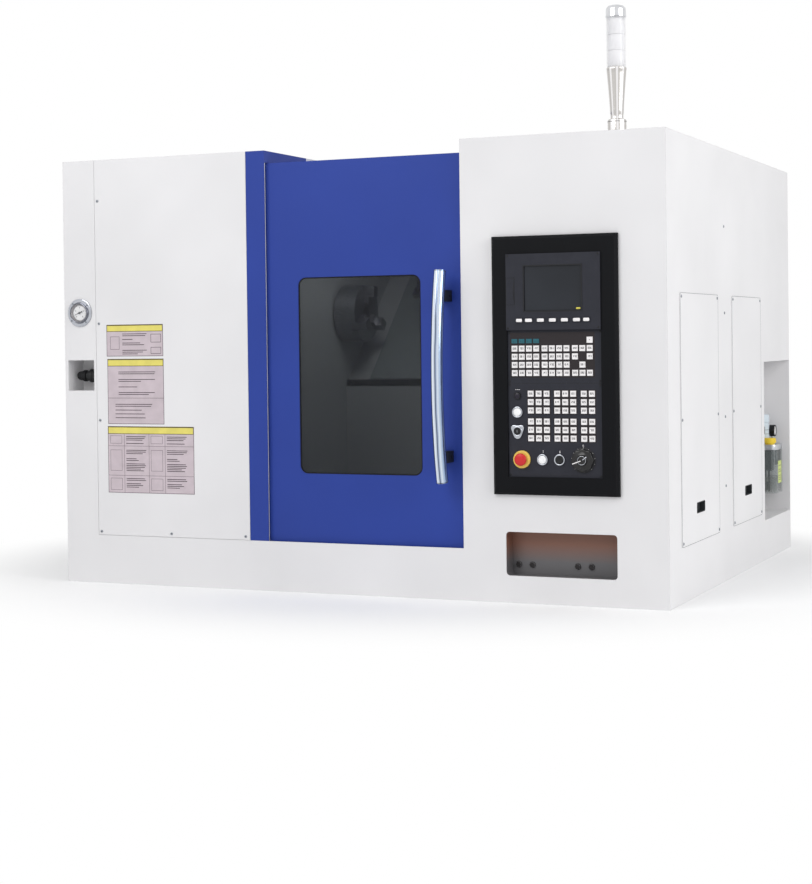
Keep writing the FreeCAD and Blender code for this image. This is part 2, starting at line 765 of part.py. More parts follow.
def make_front_skin():
    """Base strip, white column and cabinet front: one folded skin."""
    skin = Solid("front_skin")
    outline = skin.profile("XZ_Plane", 0)
    outline.polygon([
        (0, 0), (width, 0), (width, height), (opening_right, height),
        (opening_right, size.base_height), (cover_left, size.base_height),
        (cover_left, height), (0, height),
    ])
    skin.pad(outline, sheet)
    reveal = skin.profile("XZ_Plane", 0)
    reveal.rectangle((opening_right, bulkhead_right), (size.base_height, height))
    skin.pad(reveal, guide_face)
    walls = skin.profile("XZ_Plane", 0)
    recess_right = size.recess_left + size.recess_width
    recess_top = size.recess_bottom + size.recess_width
    walls.rectangle(
        (size.recess_left - sheet, recess_right + sheet), (size.recess_bottom - sheet, recess_top + sheet)
    )
    skin.pad(walls, size.recess_depth + sheet)
    hollow = skin.profile("XZ_Plane", 0)
    hollow.rectangle((size.recess_left, recess_right), (size.recess_bottom, recess_top))
    skin.pocket(hollow, size.recess_depth)
    holes = skin.profile("XZ_Plane", 0)
    holes.rounded(
        (opening_right + size.pocket_left, opening_right + size.pocket_left + size.pocket_width),
        (size.pocket_bottom, size.pocket_bottom + size.pocket_height), size.pocket_radius,
    )
    holes.rectangle(
        (unit_left, unit_left + size.unit_width), (operator_bottom, display_bottom + size.display_height)
    )
    holes.circle((gauge_x, size.gauge_height), size.gauge_case_radius)
    skin.pocket(holes, sheet)
    return put(skin.body)


def make_left_cover():
    cover = box(
        "left_cover", (cover_left + size.seam, post_left - size.seam), (as_size(0), sheet),
        (size.base_height + size.seam, height),
    )
    return cover


def make_left_housing():
    """Left side and left roof: one folded sheet, with the bars behind its cover."""
    housing = Solid("left_housing")
    section = housing.profile("XZ_Plane", sheet)
    section.polygon([
        (0, 0), (sheet, 0), (sheet, height - sheet), (opening_left - sheet, height - sheet),
        (opening_left - sheet, height), (0, height),
    ])
    housing.pad(section, depth - 2 * sheet)
    outline = housing.profile("XZ_Plane", sheet)
    low = size.base_height - size.frame_bar / 2
    left = cover_left - size.frame_lap
    right = opening_left - sheet
    outline.rectangle((left, right), (low, height - sheet))
    inner = size.frame_bar
    outline.rectangle((left + inner / 2, right - inner), (low + inner, height - sheet - inner))
    housing.pad(outline, size.frame_thickness)
    step = housing.profile("XZ_Plane", size.post_return)
    step.rectangle((opening_left - sheet, opening_left), (roof, height))
    housing.pad(step, depth - sheet - size.post_return)
    return put(housing.body)


def make_front_post():
    """Blue strip beside the door, folded back above the door's top edge."""
    post = Solid("front_post")
    face = post.profile("XZ_Plane", 0)
    face.rectangle((post_left, opening_left), (size.base_height, height))
    post.pad(face, sheet)
    side = post.profile("YZ_Plane", opening_left - sheet)
    over_door = door_top + size.door_clearance
    side.polygon([
        (0, over_door), (guide_face, over_door), (guide_face, roof), (size.post_return, roof),
        (size.post_return, height), (0, height),
    ])
    post.pad(side, sheet)
    return put(post.body)


def make_right_housing():
    """Right side and cabinet roof: one folded sheet with the lubricator's niche."""
    housing = Solid("right_housing")
    section = housing.profile("XZ_Plane", sheet)
    section.polygon([
        (bulkhead_right, height - sheet), (width - sheet, height - sheet), (width - sheet, 0),
        (width, 0), (width, height), (bulkhead_right, height),
    ])
    housing.pad(section, depth - 2 * sheet)
    step = housing.profile("XZ_Plane", guide_face)
    step.rectangle((opening_right, bulkhead_right), (roof, height))
    housing.pad(step, depth - sheet - guide_face)
    niche_top = size.niche_bottom + size.niche_height
    shell = housing.profile("YZ_Plane", width - size.niche_depth - sheet)
    shell.rectangle(
        (size.niche_front - sheet, depth - sheet), (size.niche_bottom - sheet, niche_top + sheet)
    )
    housing.pad(shell, size.niche_depth + sheet)
    hollow = housing.profile("YZ_Plane", width - size.niche_depth)
    hollow.rectangle((size.niche_front, depth - sheet), (size.niche_bottom, niche_top))
    housing.pocket(hollow, size.niche_depth)
    hatches = housing.profile("YZ_Plane", width - sheet)
    for start, length in side_covers():
        hatches.rectangle(
            (start + size.cover_lap, start + length - size.cover_lap),
            (size.side_cover_bottom + size.cover_lap,
             size.side_cover_bottom + size.side_cover_height - size.cover_lap),
        )
    housing.pocket(hatches, sheet)
    return put(housing.body)


def side_covers():
    """Front edge and length of both covers on the right side."""
    rear = size.side_cover_front + size.side_cover_width + size.cover_spacing
    return [(size.side_cover_front, size.side_cover_width), (rear, size.rear_cover_width)]


def make_side_cover(label, start, length, offset):
    """A screwed cover with a recessed finger pull."""
    cover = Solid(label)
    bottom = size.side_cover_bottom
    plate = cover.profile("YZ_Plane", width)
    plate.rounded((start, start + length), (bottom, bottom + size.side_cover_height), size.cover_corner)
    cover.pad(plate, sheet)
    wall = size.pull_wall
    pull = (start + offset, start + offset + size.pull_width)
    rise = (size.pull_bottom, size.pull_bottom + size.pull_height)
    cup = cover.profile("YZ_Plane", width - size.pull_depth)
    cup.rounded(
        (pull[0] - wall, pull[1] + wall),
        (rise[0] - wall, rise[1] + wall),
        size.cover_corner + wall,
    )
    cover.pad(cup, size.pull_depth)
    hollow = cover.profile("YZ_Plane", width - size.pull_depth + wall)
    hollow.rounded(pull, rise, size.cover_corner)
    cover.pocket(hollow, size.pull_depth + sheet)
    return put(cover.body)


def make_rear_panel():
    return box("rear_panel", (as_size(0), width), (depth - sheet, depth), (as_size(0), height))


def make_work_roof():
    """Middle roof, back to the rear panel, with the splash wall behind the slides."""
    cover = Solid("work_roof")
    section = cover.profile("YZ_Plane", opening_left)
    wall = size.bed_rear
    foot = slope_point(size.bed_high, -size.bed_drop)[1]
    section.polygon([
        (header_face, roof - sheet), (wall - sheet, roof - sheet), (wall - sheet, foot), (wall, foot),
        (wall, roof - sheet), (depth - sheet, roof - sheet), (depth - sheet, roof), (header_face, roof),
    ])
    cover.pad(section, size.opening_width)
    return put(cover.body)


def slope_end(drop):
    """How far up the slope a cover at this depth meets the rear wall."""
    return (size.bed_rear - sheet - spindle_y - drop * sine(size.slant)) / cosine(size.slant)


def slope_strip(start, end, n, thickness):
    """Outline of a flat cover that lies along the slope."""
    return [
        slope_point(start, n), slope_point(end, n), slope_point(end, n + thickness),
        slope_point(start, n + thickness),
    ]


def bulkhead_outline(foot, drop):
    """Work-area end wall: open below the slope, notched round the door beam."""
    high = slope_point(slope_end(drop), -drop)
    beam_back = header_face + size.header_depth + size.seam
    outline = [(guide_face, size.tub_bottom), (bed_front, size.tub_bottom), (bed_front, foot[0][1])]
    outline += foot
    outline += [
        high, (size.bed_rear - sheet, roof - sheet), (beam_back, roof - sheet),
        (beam_back, header_bottom - size.seam), (guide_face, header_bottom - size.seam),
    ]
    return outline


def make_left_bulkhead():
    """Left end wall with the spindle hole and the fixed way cover on its foot."""
    wall = Solid("left_bulkhead")
    outline = wall.profile("YZ_Plane", opening_left - sheet)
    drop = size.guard_drop - sheet
    outline.polygon(bulkhead_outline([slope_point(-size.saddle_low, -drop)], drop))
    wall.pad(outline, sheet)
    guard = wall.profile("YZ_Plane", opening_left - sheet)
    guard.polygon(slope_strip(-size.saddle_low, slope_end(size.guard_drop), -size.guard_drop, sheet))
    wall.pad(guard, size.guard_length + sheet)
    hole = wall.profile("YZ_Plane", opening_left - sheet)
    hole.circle((spindle_y, spindle_z), size.nose_radius + size.turret_gap)
    wall.pocket(hole, sheet)
    return put(wall.body)


def make_right_bulkhead():
    """Right end wall, above the way cover that slides out below it."""
    wall = Solid("right_bulkhead")
    outline = wall.profile("YZ_Plane", opening_right)
    drop = size.saddle_top + size.slot_gap
    end = -size.saddle_low - size.slot_gap
    under_guard = drop + 2 * size.slot_gap + sheet
    outline.polygon(bulkhead_outline([slope_point(end, -under_guard), slope_point(end, -drop)], drop))
    wall.pad(outline, sheet)
    return put(wall.body)


def make_door_header():
    """Beam over the door opening with the rail that the door hangs on."""
    beam = Solid("door_header")
    section = beam.profile("YZ_Plane", sheet)
    back = header_face + size.header_depth
    low, high = rail_z - size.rail_width / 2, rail_z + size.rail_width / 2
    section.polygon([
        (guide_face, low), (header_face, low), (header_face, header_bottom), (back, header_bottom),
        (back, roof - sheet), (header_face, roof - sheet), (header_face, high), (guide_face, high),
    ])
    beam.pad(section, opening_right - sheet)
    return put(beam.body)


def make_chip_pan():
    """Folded pan under the work area, from the door sill to the bed."""
    pan = Solid("chip_pan")
    sill = size.base_height - size.sill_drop
    lip = sill + size.sill_rise
    floor = size.tub_bottom
    front = size.tub_front
    back = bed_front
    section = pan.profile("YZ_Plane", opening_left)
    section.polygon([
        (guide_face, lip), (guide_face, sill), (sheet, sill), (sheet, sill - sheet),
        (guide_face + sheet, sill - sheet), (front, floor - sheet), (back, floor - sheet),
        (back, size.tub_rear_rise), (back - sheet, size.tub_rear_rise), (back - sheet, floor),
        (front, floor), (guide_face + sheet, sill), (guide_face + sheet, lip),
    ])
    pan.pad(section, size.opening_width)
    return put(pan.body)


def make_door_panel():
    """Folded door panel: a shallow pan, open at the back, with its window cut out."""
    panel = Solid("door_panel")
    face = panel.profile("XZ_Plane", door_face)
    face.rectangle((door_left, door_right), (door_bottom, door_top))
    face.rounded(window_across, window_up, size.window_radius)
    panel.pad(face, size.door_thickness)
    inside = panel.profile("XZ_Plane", door_face + size.door_sheet)
    wall = size.door_sheet
    inside.rectangle((door_left + wall, door_right - wall), (door_bottom + wall, door_top - wall))
    panel.pocket(inside, size.door_thickness)
    return put(panel.body)


window_left = opening_left + size.window_offset
window_across = (window_left, window_left + size.window_width)
window_up = (size.window_bottom, size.window_bottom + size.window_height)


def grown(pair, extra):
    return pair[0] - extra, pair[1] + extra


def make_window():
    """Seal and glass, one behind the other, behind the door sheet."""
    lap = size.window_lap
    lip = size.gasket_lip
    start = door_face + size.door_sheet
    seal = Solid("window_gasket")
    ring = seal.profile("XZ_Plane", start)
    ring.rounded(grown(window_across, lap), grown(window_up, lap), size.window_radius + lap)
    ring.rounded(grown(window_across, -lip), grown(window_up, -lip), size.window_radius - lip)
    seal.pad(ring, size.gasket_thickness)
    glass = Solid("door_window")
    pane = glass.profile("XZ_Plane", start + size.gasket_thickness)
    pane.rounded(grown(window_across, lap), grown(window_up, lap), size.window_radius + lap)
    glass.pad(pane, size.glass_thickness)
    return put(seal.body), put(glass.body)


def make_handle():
    """Bowed bar: a ring segment with closed ends, on two saddled blocks."""
    half = size.handle_length / 2
    bow = (half * half + size.handle_bow * size.handle_bow) / (2 * size.handle_bow)
    centre_x = opening_right - size.handle_inset
    centre_z = size.handle_bottom + half
    front_y = door_face - size.handle_stand - size.handle_bow
    radius = size.handle_diameter / 2
    tube = Solid("door_handle")
    ring = tube.profile("XY_Plane", centre_z)
    ring.axis((centre_x - radius, front_y + bow), (centre_x + radius, front_y + bow))
    ring.circle((centre_x, front_y), radius)
    tube.revolve(ring, 2 * arcsine(half / bow))
    blocks = []
    inset = half - size.block_inset
    for name, middle in (("upper", centre_z + inset), ("lower", centre_z - inset)):
        block = box(
            name + "_block", (centre_x - size.block_width / 2, centre_x + size.block_width / 2),
            (door_face - size.handle_stand, door_face),
            (middle - size.block_height / 2, middle + size.block_height / 2),
        )
        seat = document.addObject("Part::Torus", name + "_seat")
        bind(seat, "Radius1", bow)
        bind(seat, "Radius2", radius)
        put(seat, centre_x, front_y + bow, centre_z, turn=TURNS["X"])
        blocks.append(cut(name + "_saddle", block, [seat]))
    return put(tube.body), group("handle_blocks", blocks)


def make_door_runners():
    """Two runners round the top rail and two shoes behind the sill's lip."""
    parts = []
    inset = size.runner_inset
    starts = (door_left + inset, door_right - inset - size.runner_length)
    reach = size.rail_width / 2
    inside = door_face + size.door_sheet
    for number, start in enumerate(starts, 1):
        runner = Solid("runner_%d" % number)
        section = runner.profile("YZ_Plane", start)
        outer = reach + size.runner_wall
        slot = reach + size.slide_gap
        back = header_face - size.slide_gap
        section.polygon([
            (inside, rail_z - outer), (back, rail_z - outer), (back, rail_z - slot),
            (guide_face - size.slide_gap, rail_z - slot), (guide_face - size.slide_gap, rail_z + slot),
            (back, rail_z + slot), (back, rail_z + outer), (inside, rail_z + outer),
        ])
        runner.pad(section, size.runner_length)
        parts.append(put(runner.body))
        low = door_bottom + size.door_sheet
        parts.append(box(
            "shoe_%d" % number, (start, start + size.runner_length),
            (inside, guide_face - size.slide_gap),
            (low, low + size.shoe_height),
        ))
    return group("door_runners", parts)


def make_panel_frame():
    """Black bevelled frame round the control units."""
    frame = Solid("panel_frame")
    right = panel_left + panel_width
    top = size.panel_bottom + panel_height
    outline = frame.profile("XZ_Plane", -size.panel_proud)
    outline.rectangle((panel_left, right), (size.panel_bottom, top))
    outline.rectangle(
        (unit_left, unit_left + size.unit_width), (operator_bottom, display_bottom + size.display_height)
    )
    pad = frame.pad(outline, size.panel_proud)
    document.recompute()
    bevel = frame.body.newObject("PartDesign::Chamfer", "Bevel")
    front = -size.panel_proud.value
    corners = []
    for number, edge in enumerate(pad.Shape.Edges, 1):
        ends = [vertex.Point for vertex in edge.Vertexes]
        on_face = all(abs(point.y - front) < 0.01 for point in ends)
        outside = all(
            abs(point.x - panel_left.value) < 0.01 or abs(point.x - right.value) < 0.01
            for point in ends
        )
        if on_face and outside:
            corners.append("Edge%d" % number)
    bevel.Base = (pad, corners)
    bind(bevel, "Size", size.panel_bevel)
    return put(frame.body)


def make_keys(profile, columns, rows, width_of_key, height_of_key):
    """Rectangles for a field of keys, at the given middles."""
    for column in columns:
        for row in rows:
            profile.rectangle(
                (column - width_of_key / 2, column + width_of_key / 2),
                (row - height_of_key / 2, row + height_of_key / 2),
            )


def make_unit(label, bottom, tall, face):
    """The plate that a control unit starts from."""
    unit = Solid(label)
    plate = unit.profile("XZ_Plane", face)
    plate.rectangle((unit_left, unit_left + size.unit_width), (bottom, bottom + tall))
    unit.pad(plate, sheet - face)
    return unit


def make_display_unit():
    """Screen behind its bezel over seven keys, on a unit that stands out from the others."""
    face = unit_face - size.display_rise
    unit = make_unit("display_unit", display_bottom, size.display_height, face)
    glass_left = unit_left + (size.unit_width - size.screen_width) / 2
    glass_top = display_bottom + size.display_height - size.screen_top
    screen = unit.profile("XZ_Plane", face)
    screen.rectangle(
        (glass_left, glass_left + size.screen_width),
        (glass_top - size.screen_height, glass_top),
    )
    unit.pocket(screen, size.screen_depth)
    keys = unit.profile("XZ_Plane", face - size.key_rise)
    middle = unit_left + size.unit_width / 2
    bottom = display_bottom + size.soft_key_bottom
    columns = [middle + step * size.soft_key_pitch for step in range(-2, 3)]
    ends = [middle - size.soft_key_end, middle + size.soft_key_end]
    make_keys(keys, columns, [bottom], size.soft_key_width, size.soft_key_height)
    make_keys(keys, ends, [bottom], size.soft_key_width / 2, size.soft_key_height)
    unit.pad(keys, size.key_rise)
    return put(unit.body)


def make_keyboard_unit():
    """Eleven columns of keys in four rows under four narrow mode keys."""
    unit = make_unit("keyboard_unit", keyboard_bottom, size.keyboard_height, unit_face)
    first = unit_left + size.key_left
    columns = [
        first + step * size.key_column_pitch + (step // 4) * size.key_group_gap
        for step in range(11)
    ]
    top = keyboard_bottom + size.keyboard_height - size.key_top
    rows = [top - step * size.key_row_pitch for step in range(1, 5)]
    keys = unit.profile("XZ_Plane", unit_face - size.key_rise)
    make_keys(keys, columns, [rows[0], rows[3]], size.key_size, size.key_size)
    make_keys(keys, columns[:9] + columns[10:], [rows[1]], size.key_size, size.key_size)
    make_keys(keys, columns[:8] + columns[9:10], [rows[2]], size.key_size, size.key_size)
    make_keys(keys, columns[:4], [top], size.key_size, size.key_size / 2)
    make_keys(keys, columns[10:], [top], size.key_size, size.key_size)
    unit.pad(keys, size.key_rise)
    return put(unit.body)


def turned(label, plane, points, axis):
    """A body of revolution about its own X or Y axis."""
    solid = Solid(label)
    section = solid.profile(plane, 0)
    section.axis((0, 0), axis)
    section.polygon(points)
    solid.revolve(section)
    return solid.body


def operator_places():
    """Middles of the round controls on the operator unit."""
    top = operator_bottom + size.operator_height
    left = unit_left + size.left_column
    low = operator_bottom + size.lower_row
    return {
        "mode_button": (left, top - size.mode_drop),
        "key_switch": (left, top - size.key_drop),
        "emergency_stop": (unit_left + size.stop_left, low),
        "start_button": (unit_left + size.start_left, low),
        "stop_button": (unit_left + size.halt_left, low),
        "override_wheel": (unit_left + size.wheel_left, low),
    }


def make_operator_unit():
    """Key field in eight columns and six rows, with rings for the round controls."""
    unit = make_unit("operator_unit", operator_bottom, size.operator_height, unit_face)
    top = operator_bottom + size.operator_height
    pitch = size.operator_pitch
    columns = []
    for number in range(8):
        columns.append(unit_left + size.operator_left + number * pitch + number // 3 * size.operator_gap)
    rows = []
    for number in range(6):
        rows.append(top - size.operator_drop - number * pitch - number // 3 * size.operator_gap)
    keys = unit.profile("XZ_Plane", unit_face - size.key_rise)
    make_keys(keys, columns, rows, size.key_size, size.key_size)
    unit.pad(keys, size.key_rise)
    places = operator_places()
    rings = unit.profile("XZ_Plane", unit_face - size.button_bezel)
    for name in ("mode_button", "start_button", "stop_button", "key_switch"):
        rings.circle(places[name], size.button_radius)
        rings.circle(places[name], size.button_cap + size.button_room)
    rings.circle(places["emergency_stop"], size.stop_ring_radius)
    rings.circle((unit_left + size.left_column, top - size.indicator_drop), size.indicator_radius)
    unit.pad(rings, size.button_bezel)
    holes = unit.profile("XZ_Plane", unit_face - size.button_bezel)
    for place in places.values():
        holes.circle(place, size.button_stem + size.fit_gap)
    unit.pocket(holes, size.button_bezel + sheet - unit_face)
    return put(unit.body)


def make_controls():
    """Moving caps and knobs; each stem runs in its hole in the operator unit."""
    places = operator_places()
    stem = size.button_stem
    inner = sheet - unit_face
    rest = size.button_travel + size.button_room
    cap = size.button_cap
    rise = size.button_rise
    outlines = {}
    for name in ("mode_button", "start_button", "stop_button"):
        outlines[name] = [(0, inner), (stem, inner), (stem, -rest), (cap, -rest), (cap, -rise), (0, -rise)]
    barrel = size.key_barrel
    room = size.button_room
    outlines["key_switch"] = [
        (0, inner), (stem, inner), (stem, -room), (barrel, -room), (barrel, -rise), (0, -rise),
    ]
    head = size.stop_radius
    tall = size.stop_rise
    under = size.button_bezel + rest
    outlines["emergency_stop"] = [
        (0, inner), (stem, inner), (stem, -under), (head * 0.7, -under), (head * 0.7, -tall * 0.58),
        (head, -tall * 0.58), (head, -tall * 0.82), (head * 0.8, -tall), (0, -tall),
    ]
    wheel = size.wheel_radius
    rim = size.wheel_rise
    outlines["override_wheel"] = [
        (0, inner), (stem, inner), (stem, -room), (wheel, -room), (wheel, -rim * 0.65),
        (wheel * 0.52, -rim * 0.65), (wheel * 0.52, -rim), (0, -rim),
    ]
    for name, points in outlines.items():
        body = turned(name, "XY_Plane", points, (0, -1))
        keep(put(body, places[name][0], unit_face, places[name][1]))


def make_gauge():
    """Pressure gauge: flange, rim and case turned as one, with its needle."""
    case = size.gauge_case_radius - size.slide_gap
    rim = size.gauge_dial_radius + sheet
    back = sheet + size.gauge_case_depth
    pin = size.needle_pin + size.fit_gap
    body = turned("gauge_body", "XY_Plane", [
        (pin, back), (case, back), (case, 0), (size.gauge_radius, 0),
        (size.gauge_radius, -size.gauge_flange),
        (rim, -size.gauge_flange), (rim, -size.gauge_bezel), (size.gauge_dial_radius, -size.gauge_bezel),
        (size.gauge_dial_radius, -size.gauge_face), (pin, -size.gauge_face),
    ], (0, -1))
    keep(put(body, gauge_x, as_size(0), size.gauge_height))
    needle = Solid("gauge_needle")
    front = size.gauge_face + size.needle_rise
    half = size.needle_width / 2
    blade = needle.profile("XZ_Plane", -front - size.needle_thickness)
    blade.circle((0, 0), size.needle_hub)
    needle.pad(blade, size.needle_thickness)
    arm = needle.profile("XZ_Plane", -front - size.needle_thickness)
    arm.polygon([(-half, 0), (half, 0), (half / 2, size.needle_length), (-half / 2, size.needle_length)])
    needle.pad(arm, size.needle_thickness)
    pin = needle.profile("XZ_Plane", -front)
    pin.circle((0, 0), size.needle_pin)
    needle.pad(pin, front + sheet)
    keep(put(needle.body, gauge_x, as_size(0), size.gauge_height, turn=NEEDLE_REST))


def make_regulator():
    """Air regulator on the recess's right wall, with its knob on the left."""
    right = size.recess_left + size.recess_width
    face = right - size.regulator_length
    place = (size.regulator_depth, size.recess_bottom + size.regulator_height)
    bore = size.button_stem + size.fit_gap
    body = turned("regulator_body", "XY_Plane", [
        (face, bore), (right, bore), (right, size.regulator_radius),
        (face + size.knob_gap, size.regulator_radius),
        (face + size.knob_gap, size.regulator_radius * 0.75), (face, size.regulator_radius * 0.75),
    ], (1, 0))
    keep(put(body, as_size(0), *place))
    knob_right = face - size.knob_gap
    knob_left = knob_right - size.knob_length
    knob = turned("regulator_knob", "XY_Plane", [
        (knob_left, 0), (right - size.knob_gap, 0), (right - size.knob_gap, size.button_stem),
        (knob_right, size.button_stem), (knob_right, size.knob_radius), (knob_left, size.knob_radius),
    ], (1, 0))
    keep(put(knob, as_size(0), *place))


def make_pocket_liner():
    """Open box behind the pocket, with four bolt heads on its back."""
    liner = Solid("pocket_liner")
    left = opening_right + size.pocket_left
    across = (left, left + size.pocket_width)
    up = (size.pocket_bottom, size.pocket_bottom + size.pocket_height)
    shell = liner.profile("XZ_Plane", sheet)
    shell.rounded(grown(across, sheet), grown(up, sheet), size.pocket_radius + sheet)
    liner.pad(shell, size.pocket_depth)
    hollow = liner.profile("XZ_Plane", sheet)
    hollow.rounded(across, up, size.pocket_radius)
    liner.pocket(hollow, size.pocket_depth - sheet)
    heads = liner.profile("XZ_Plane", size.pocket_depth - size.pocket_bolt_height)
    for pair in range(2):
        pair_x = left + size.pocket_bolt_left + pair * size.pocket_pair_pitch
        for bolt in range(2):
            x = pair_x + bolt * size.pocket_bolt_pitch
            heads.circle((x, size.pocket_bottom + size.pocket_bolt_rise), size.pocket_bolt_radius)
    liner.pad(heads, size.pocket_bolt_height)
    return put(liner.body)


def make_stack_light():
    """Foot and tapered neck turned as one, under a clear tube with its cap."""
    x, y = width - size.light_x, size.light_y
    foot = size.light_foot_height
    stem = foot + size.light_stem_height
    neck = stem + size.light_neck_height
    base = fuse("stack_light_base", [
        rod("light_foot", "Z", (x, y, height), size.light_foot_radius, foot),
        rod("light_stem", "Z", (x, y, height + foot), size.light_neck_radius, size.light_stem_height),
        taper("light_neck", "Z", (x, y, height + stem), (size.light_neck_radius, size.light_radius),
              size.light_neck_height),
    ])
    tube = turned("stack_light_tube", "XZ_Plane", [
        (0, neck + size.light_height - sheet),
        (size.light_radius - size.light_wall, neck + size.light_height - sheet),
        (size.light_radius - size.light_wall, neck), (size.light_radius, neck),
        (size.light_radius, neck + size.light_height + size.light_cap_height),
        (0, neck + size.light_height + size.light_cap_height),
    ], (0, 1))
    return base, put(tube, x, y, height)


def screw_head(label, direction, place):
    """A head with eight flat sides, which keeps the model's facets few."""
    head = document.addObject("Part::Prism", label)
    head.Polygon = 8
    bind(head, "Circumradius", size.screw_radius)
    bind(head, "Height", size.screw_rise)
    return put(head, *place, turn=TURNS[direction])


def make_screws():
    """Heads of all the covers' screws."""
    edge = size.screw_edge
    heads = []
    low = size.base_height + size.seam + edge
    cover_height = height - low
    front = [(cover_left + size.seam + edge, low + cover_height * share) for share in (0, 0.3, 0.56, 0.89)]
    front += [(cover_left + size.cover_width * share, low) for share in (0.49, 0.97)]
    for number, (x, z) in enumerate(front):
        heads.append(screw_head("front_screw_%d" % number, "-Y", (x, as_size(0), z)))
    bottom = size.side_cover_bottom
    rows = [bottom + edge, bottom + size.side_cover_height / 2, bottom + size.side_cover_height - edge]
    for number, (start, length) in enumerate(side_covers()):
        for row, z in enumerate(rows):
            for side, y in enumerate((start + edge, start + length - edge)):
                label = "side_screw_%d_%d_%d" % (number, row, side)
                heads.append(screw_head(label, "X", (width + sheet, y, z)))
    seam_y = size.side_cover_front + size.side_cover_width + size.cover_spacing / 2
    for number, share in enumerate((0.22, 0.38, 0.62, 0.82)):
        heads.append(screw_head("seam_screw_%d" % number, "X", (width, seam_y, height * share)))
    return group("cover_screws", heads)


def make_lubricator():
    """Pump, gauge and filler on the lid of a clear oil tank."""
    wall_x = width - size.niche_depth
    left = wall_x + size.tank_wall_gap
    right = left + size.tank_reach
    front = size.niche_front + size.tank_offset
    back = front + size.tank_width
    top = size.tank_bottom + size.tank_height
    tank = Solid("lubricator_tank")
    shell = tank.profile("XY_Plane", size.tank_bottom)
    shell.rounded((left, right), (front, back), size.tank_radius)
    tank.pad(shell, size.tank_height)
    wall = size.tank_wall
    hollow = tank.profile("XY_Plane", size.tank_bottom + wall)
    hollow.rounded((left + wall, right - wall), (front + wall, back - wall), size.tank_radius - wall)
    tank.pocket(hollow, size.tank_height)
    lid = Solid("lubricator_lid")
    plate = lid.profile("XY_Plane", top)
    plate.rounded((left, right), (front, back), size.tank_radius)
    lid.pad(plate, size.lid_height)
    lid_top = top + size.lid_height
    middle = (front + back) / 2
    gauge_middle = middle + size.lube_gauge_inset
    gauge_x0 = right - size.lube_gauge_inset - size.lube_gauge_length
    gauge_z = lid_top + size.lube_gauge_rise
    pump = fuse("lubricator_pump", [
        put(lid.body),
        box(
            "lubricator_bracket",
            (wall_x, left + size.tank_radius),
            (front + size.tank_radius, back - size.tank_radius),
            (top, lid_top),
        ),
        rod(
            "pump_motor",
            "Z",
            (right - size.pump_inset, middle, lid_top),
            size.pump_radius,
            size.pump_height,
        ),
        rod("filler_cap", "Z", (right - size.cap_inset, front + size.lube_cap_radius, lid_top),
            size.lube_cap_radius, size.lube_cap_height),
        rod(
            "lube_gauge",
            "X",
            (gauge_x0, gauge_middle, gauge_z),
            size.lube_gauge_radius,
            size.lube_gauge_length,
        ),
        rod("gauge_stem", "Z", (gauge_x0 + size.lube_gauge_length / 2, gauge_middle, lid_top),
            size.lube_stem, size.lube_gauge_rise),
    ])
    return put(tank.body), pump


def make_base_frame():
    """Welded frame: a rim and cross members, with nine windows between them."""
    frame = Solid("base_frame")
    outline = frame.profile("XY_Plane", size.foot_height)
    beam = size.frame_beam
    outline.rectangle((sheet, width - sheet), (sheet, depth - sheet))
    bays_x = [
        (sheet + beam, opening_left - beam / 2),
        (opening_left + beam / 2, opening_right - beam / 2),
        (opening_right + beam / 2, width - sheet - beam),
    ]
    bays_y = [
        (sheet + beam, bed_front - beam / 2),
        (bed_front + beam / 2, size.bed_rear - beam / 2),
        (size.bed_rear + beam / 2, depth - sheet - beam),
    ]
    for across in bays_x:
        for along in bays_y:
            outline.rectangle(across, along)
    frame.pad(outline, size.frame_height)
    return put(frame.body)


def make_feet():
    """Six levelling feet under the frame's members."""
    feet = []
    inset = sheet + size.frame_beam / 2
    for column, x in enumerate((inset, opening_left, width - inset)):
        for row, y in enumerate((inset, depth - inset)):
            feet.append(
                rod(
                    "foot_%d_%d" % (column, row), "Z", (x, y, as_size(0)),
                    size.foot_radius, size.foot_height,
                ),
            )
    return group("levelling_feet", feet)


def way_outline(s):
    """Box way on the bed, seen along the spindle."""
    return slope_strip(s - size.way_width / 2, s + size.way_width / 2, -size.bed_drop, size.way_height)


def long_screw_point():
    return slope_point(size.screw_offset, -size.screw_drop)


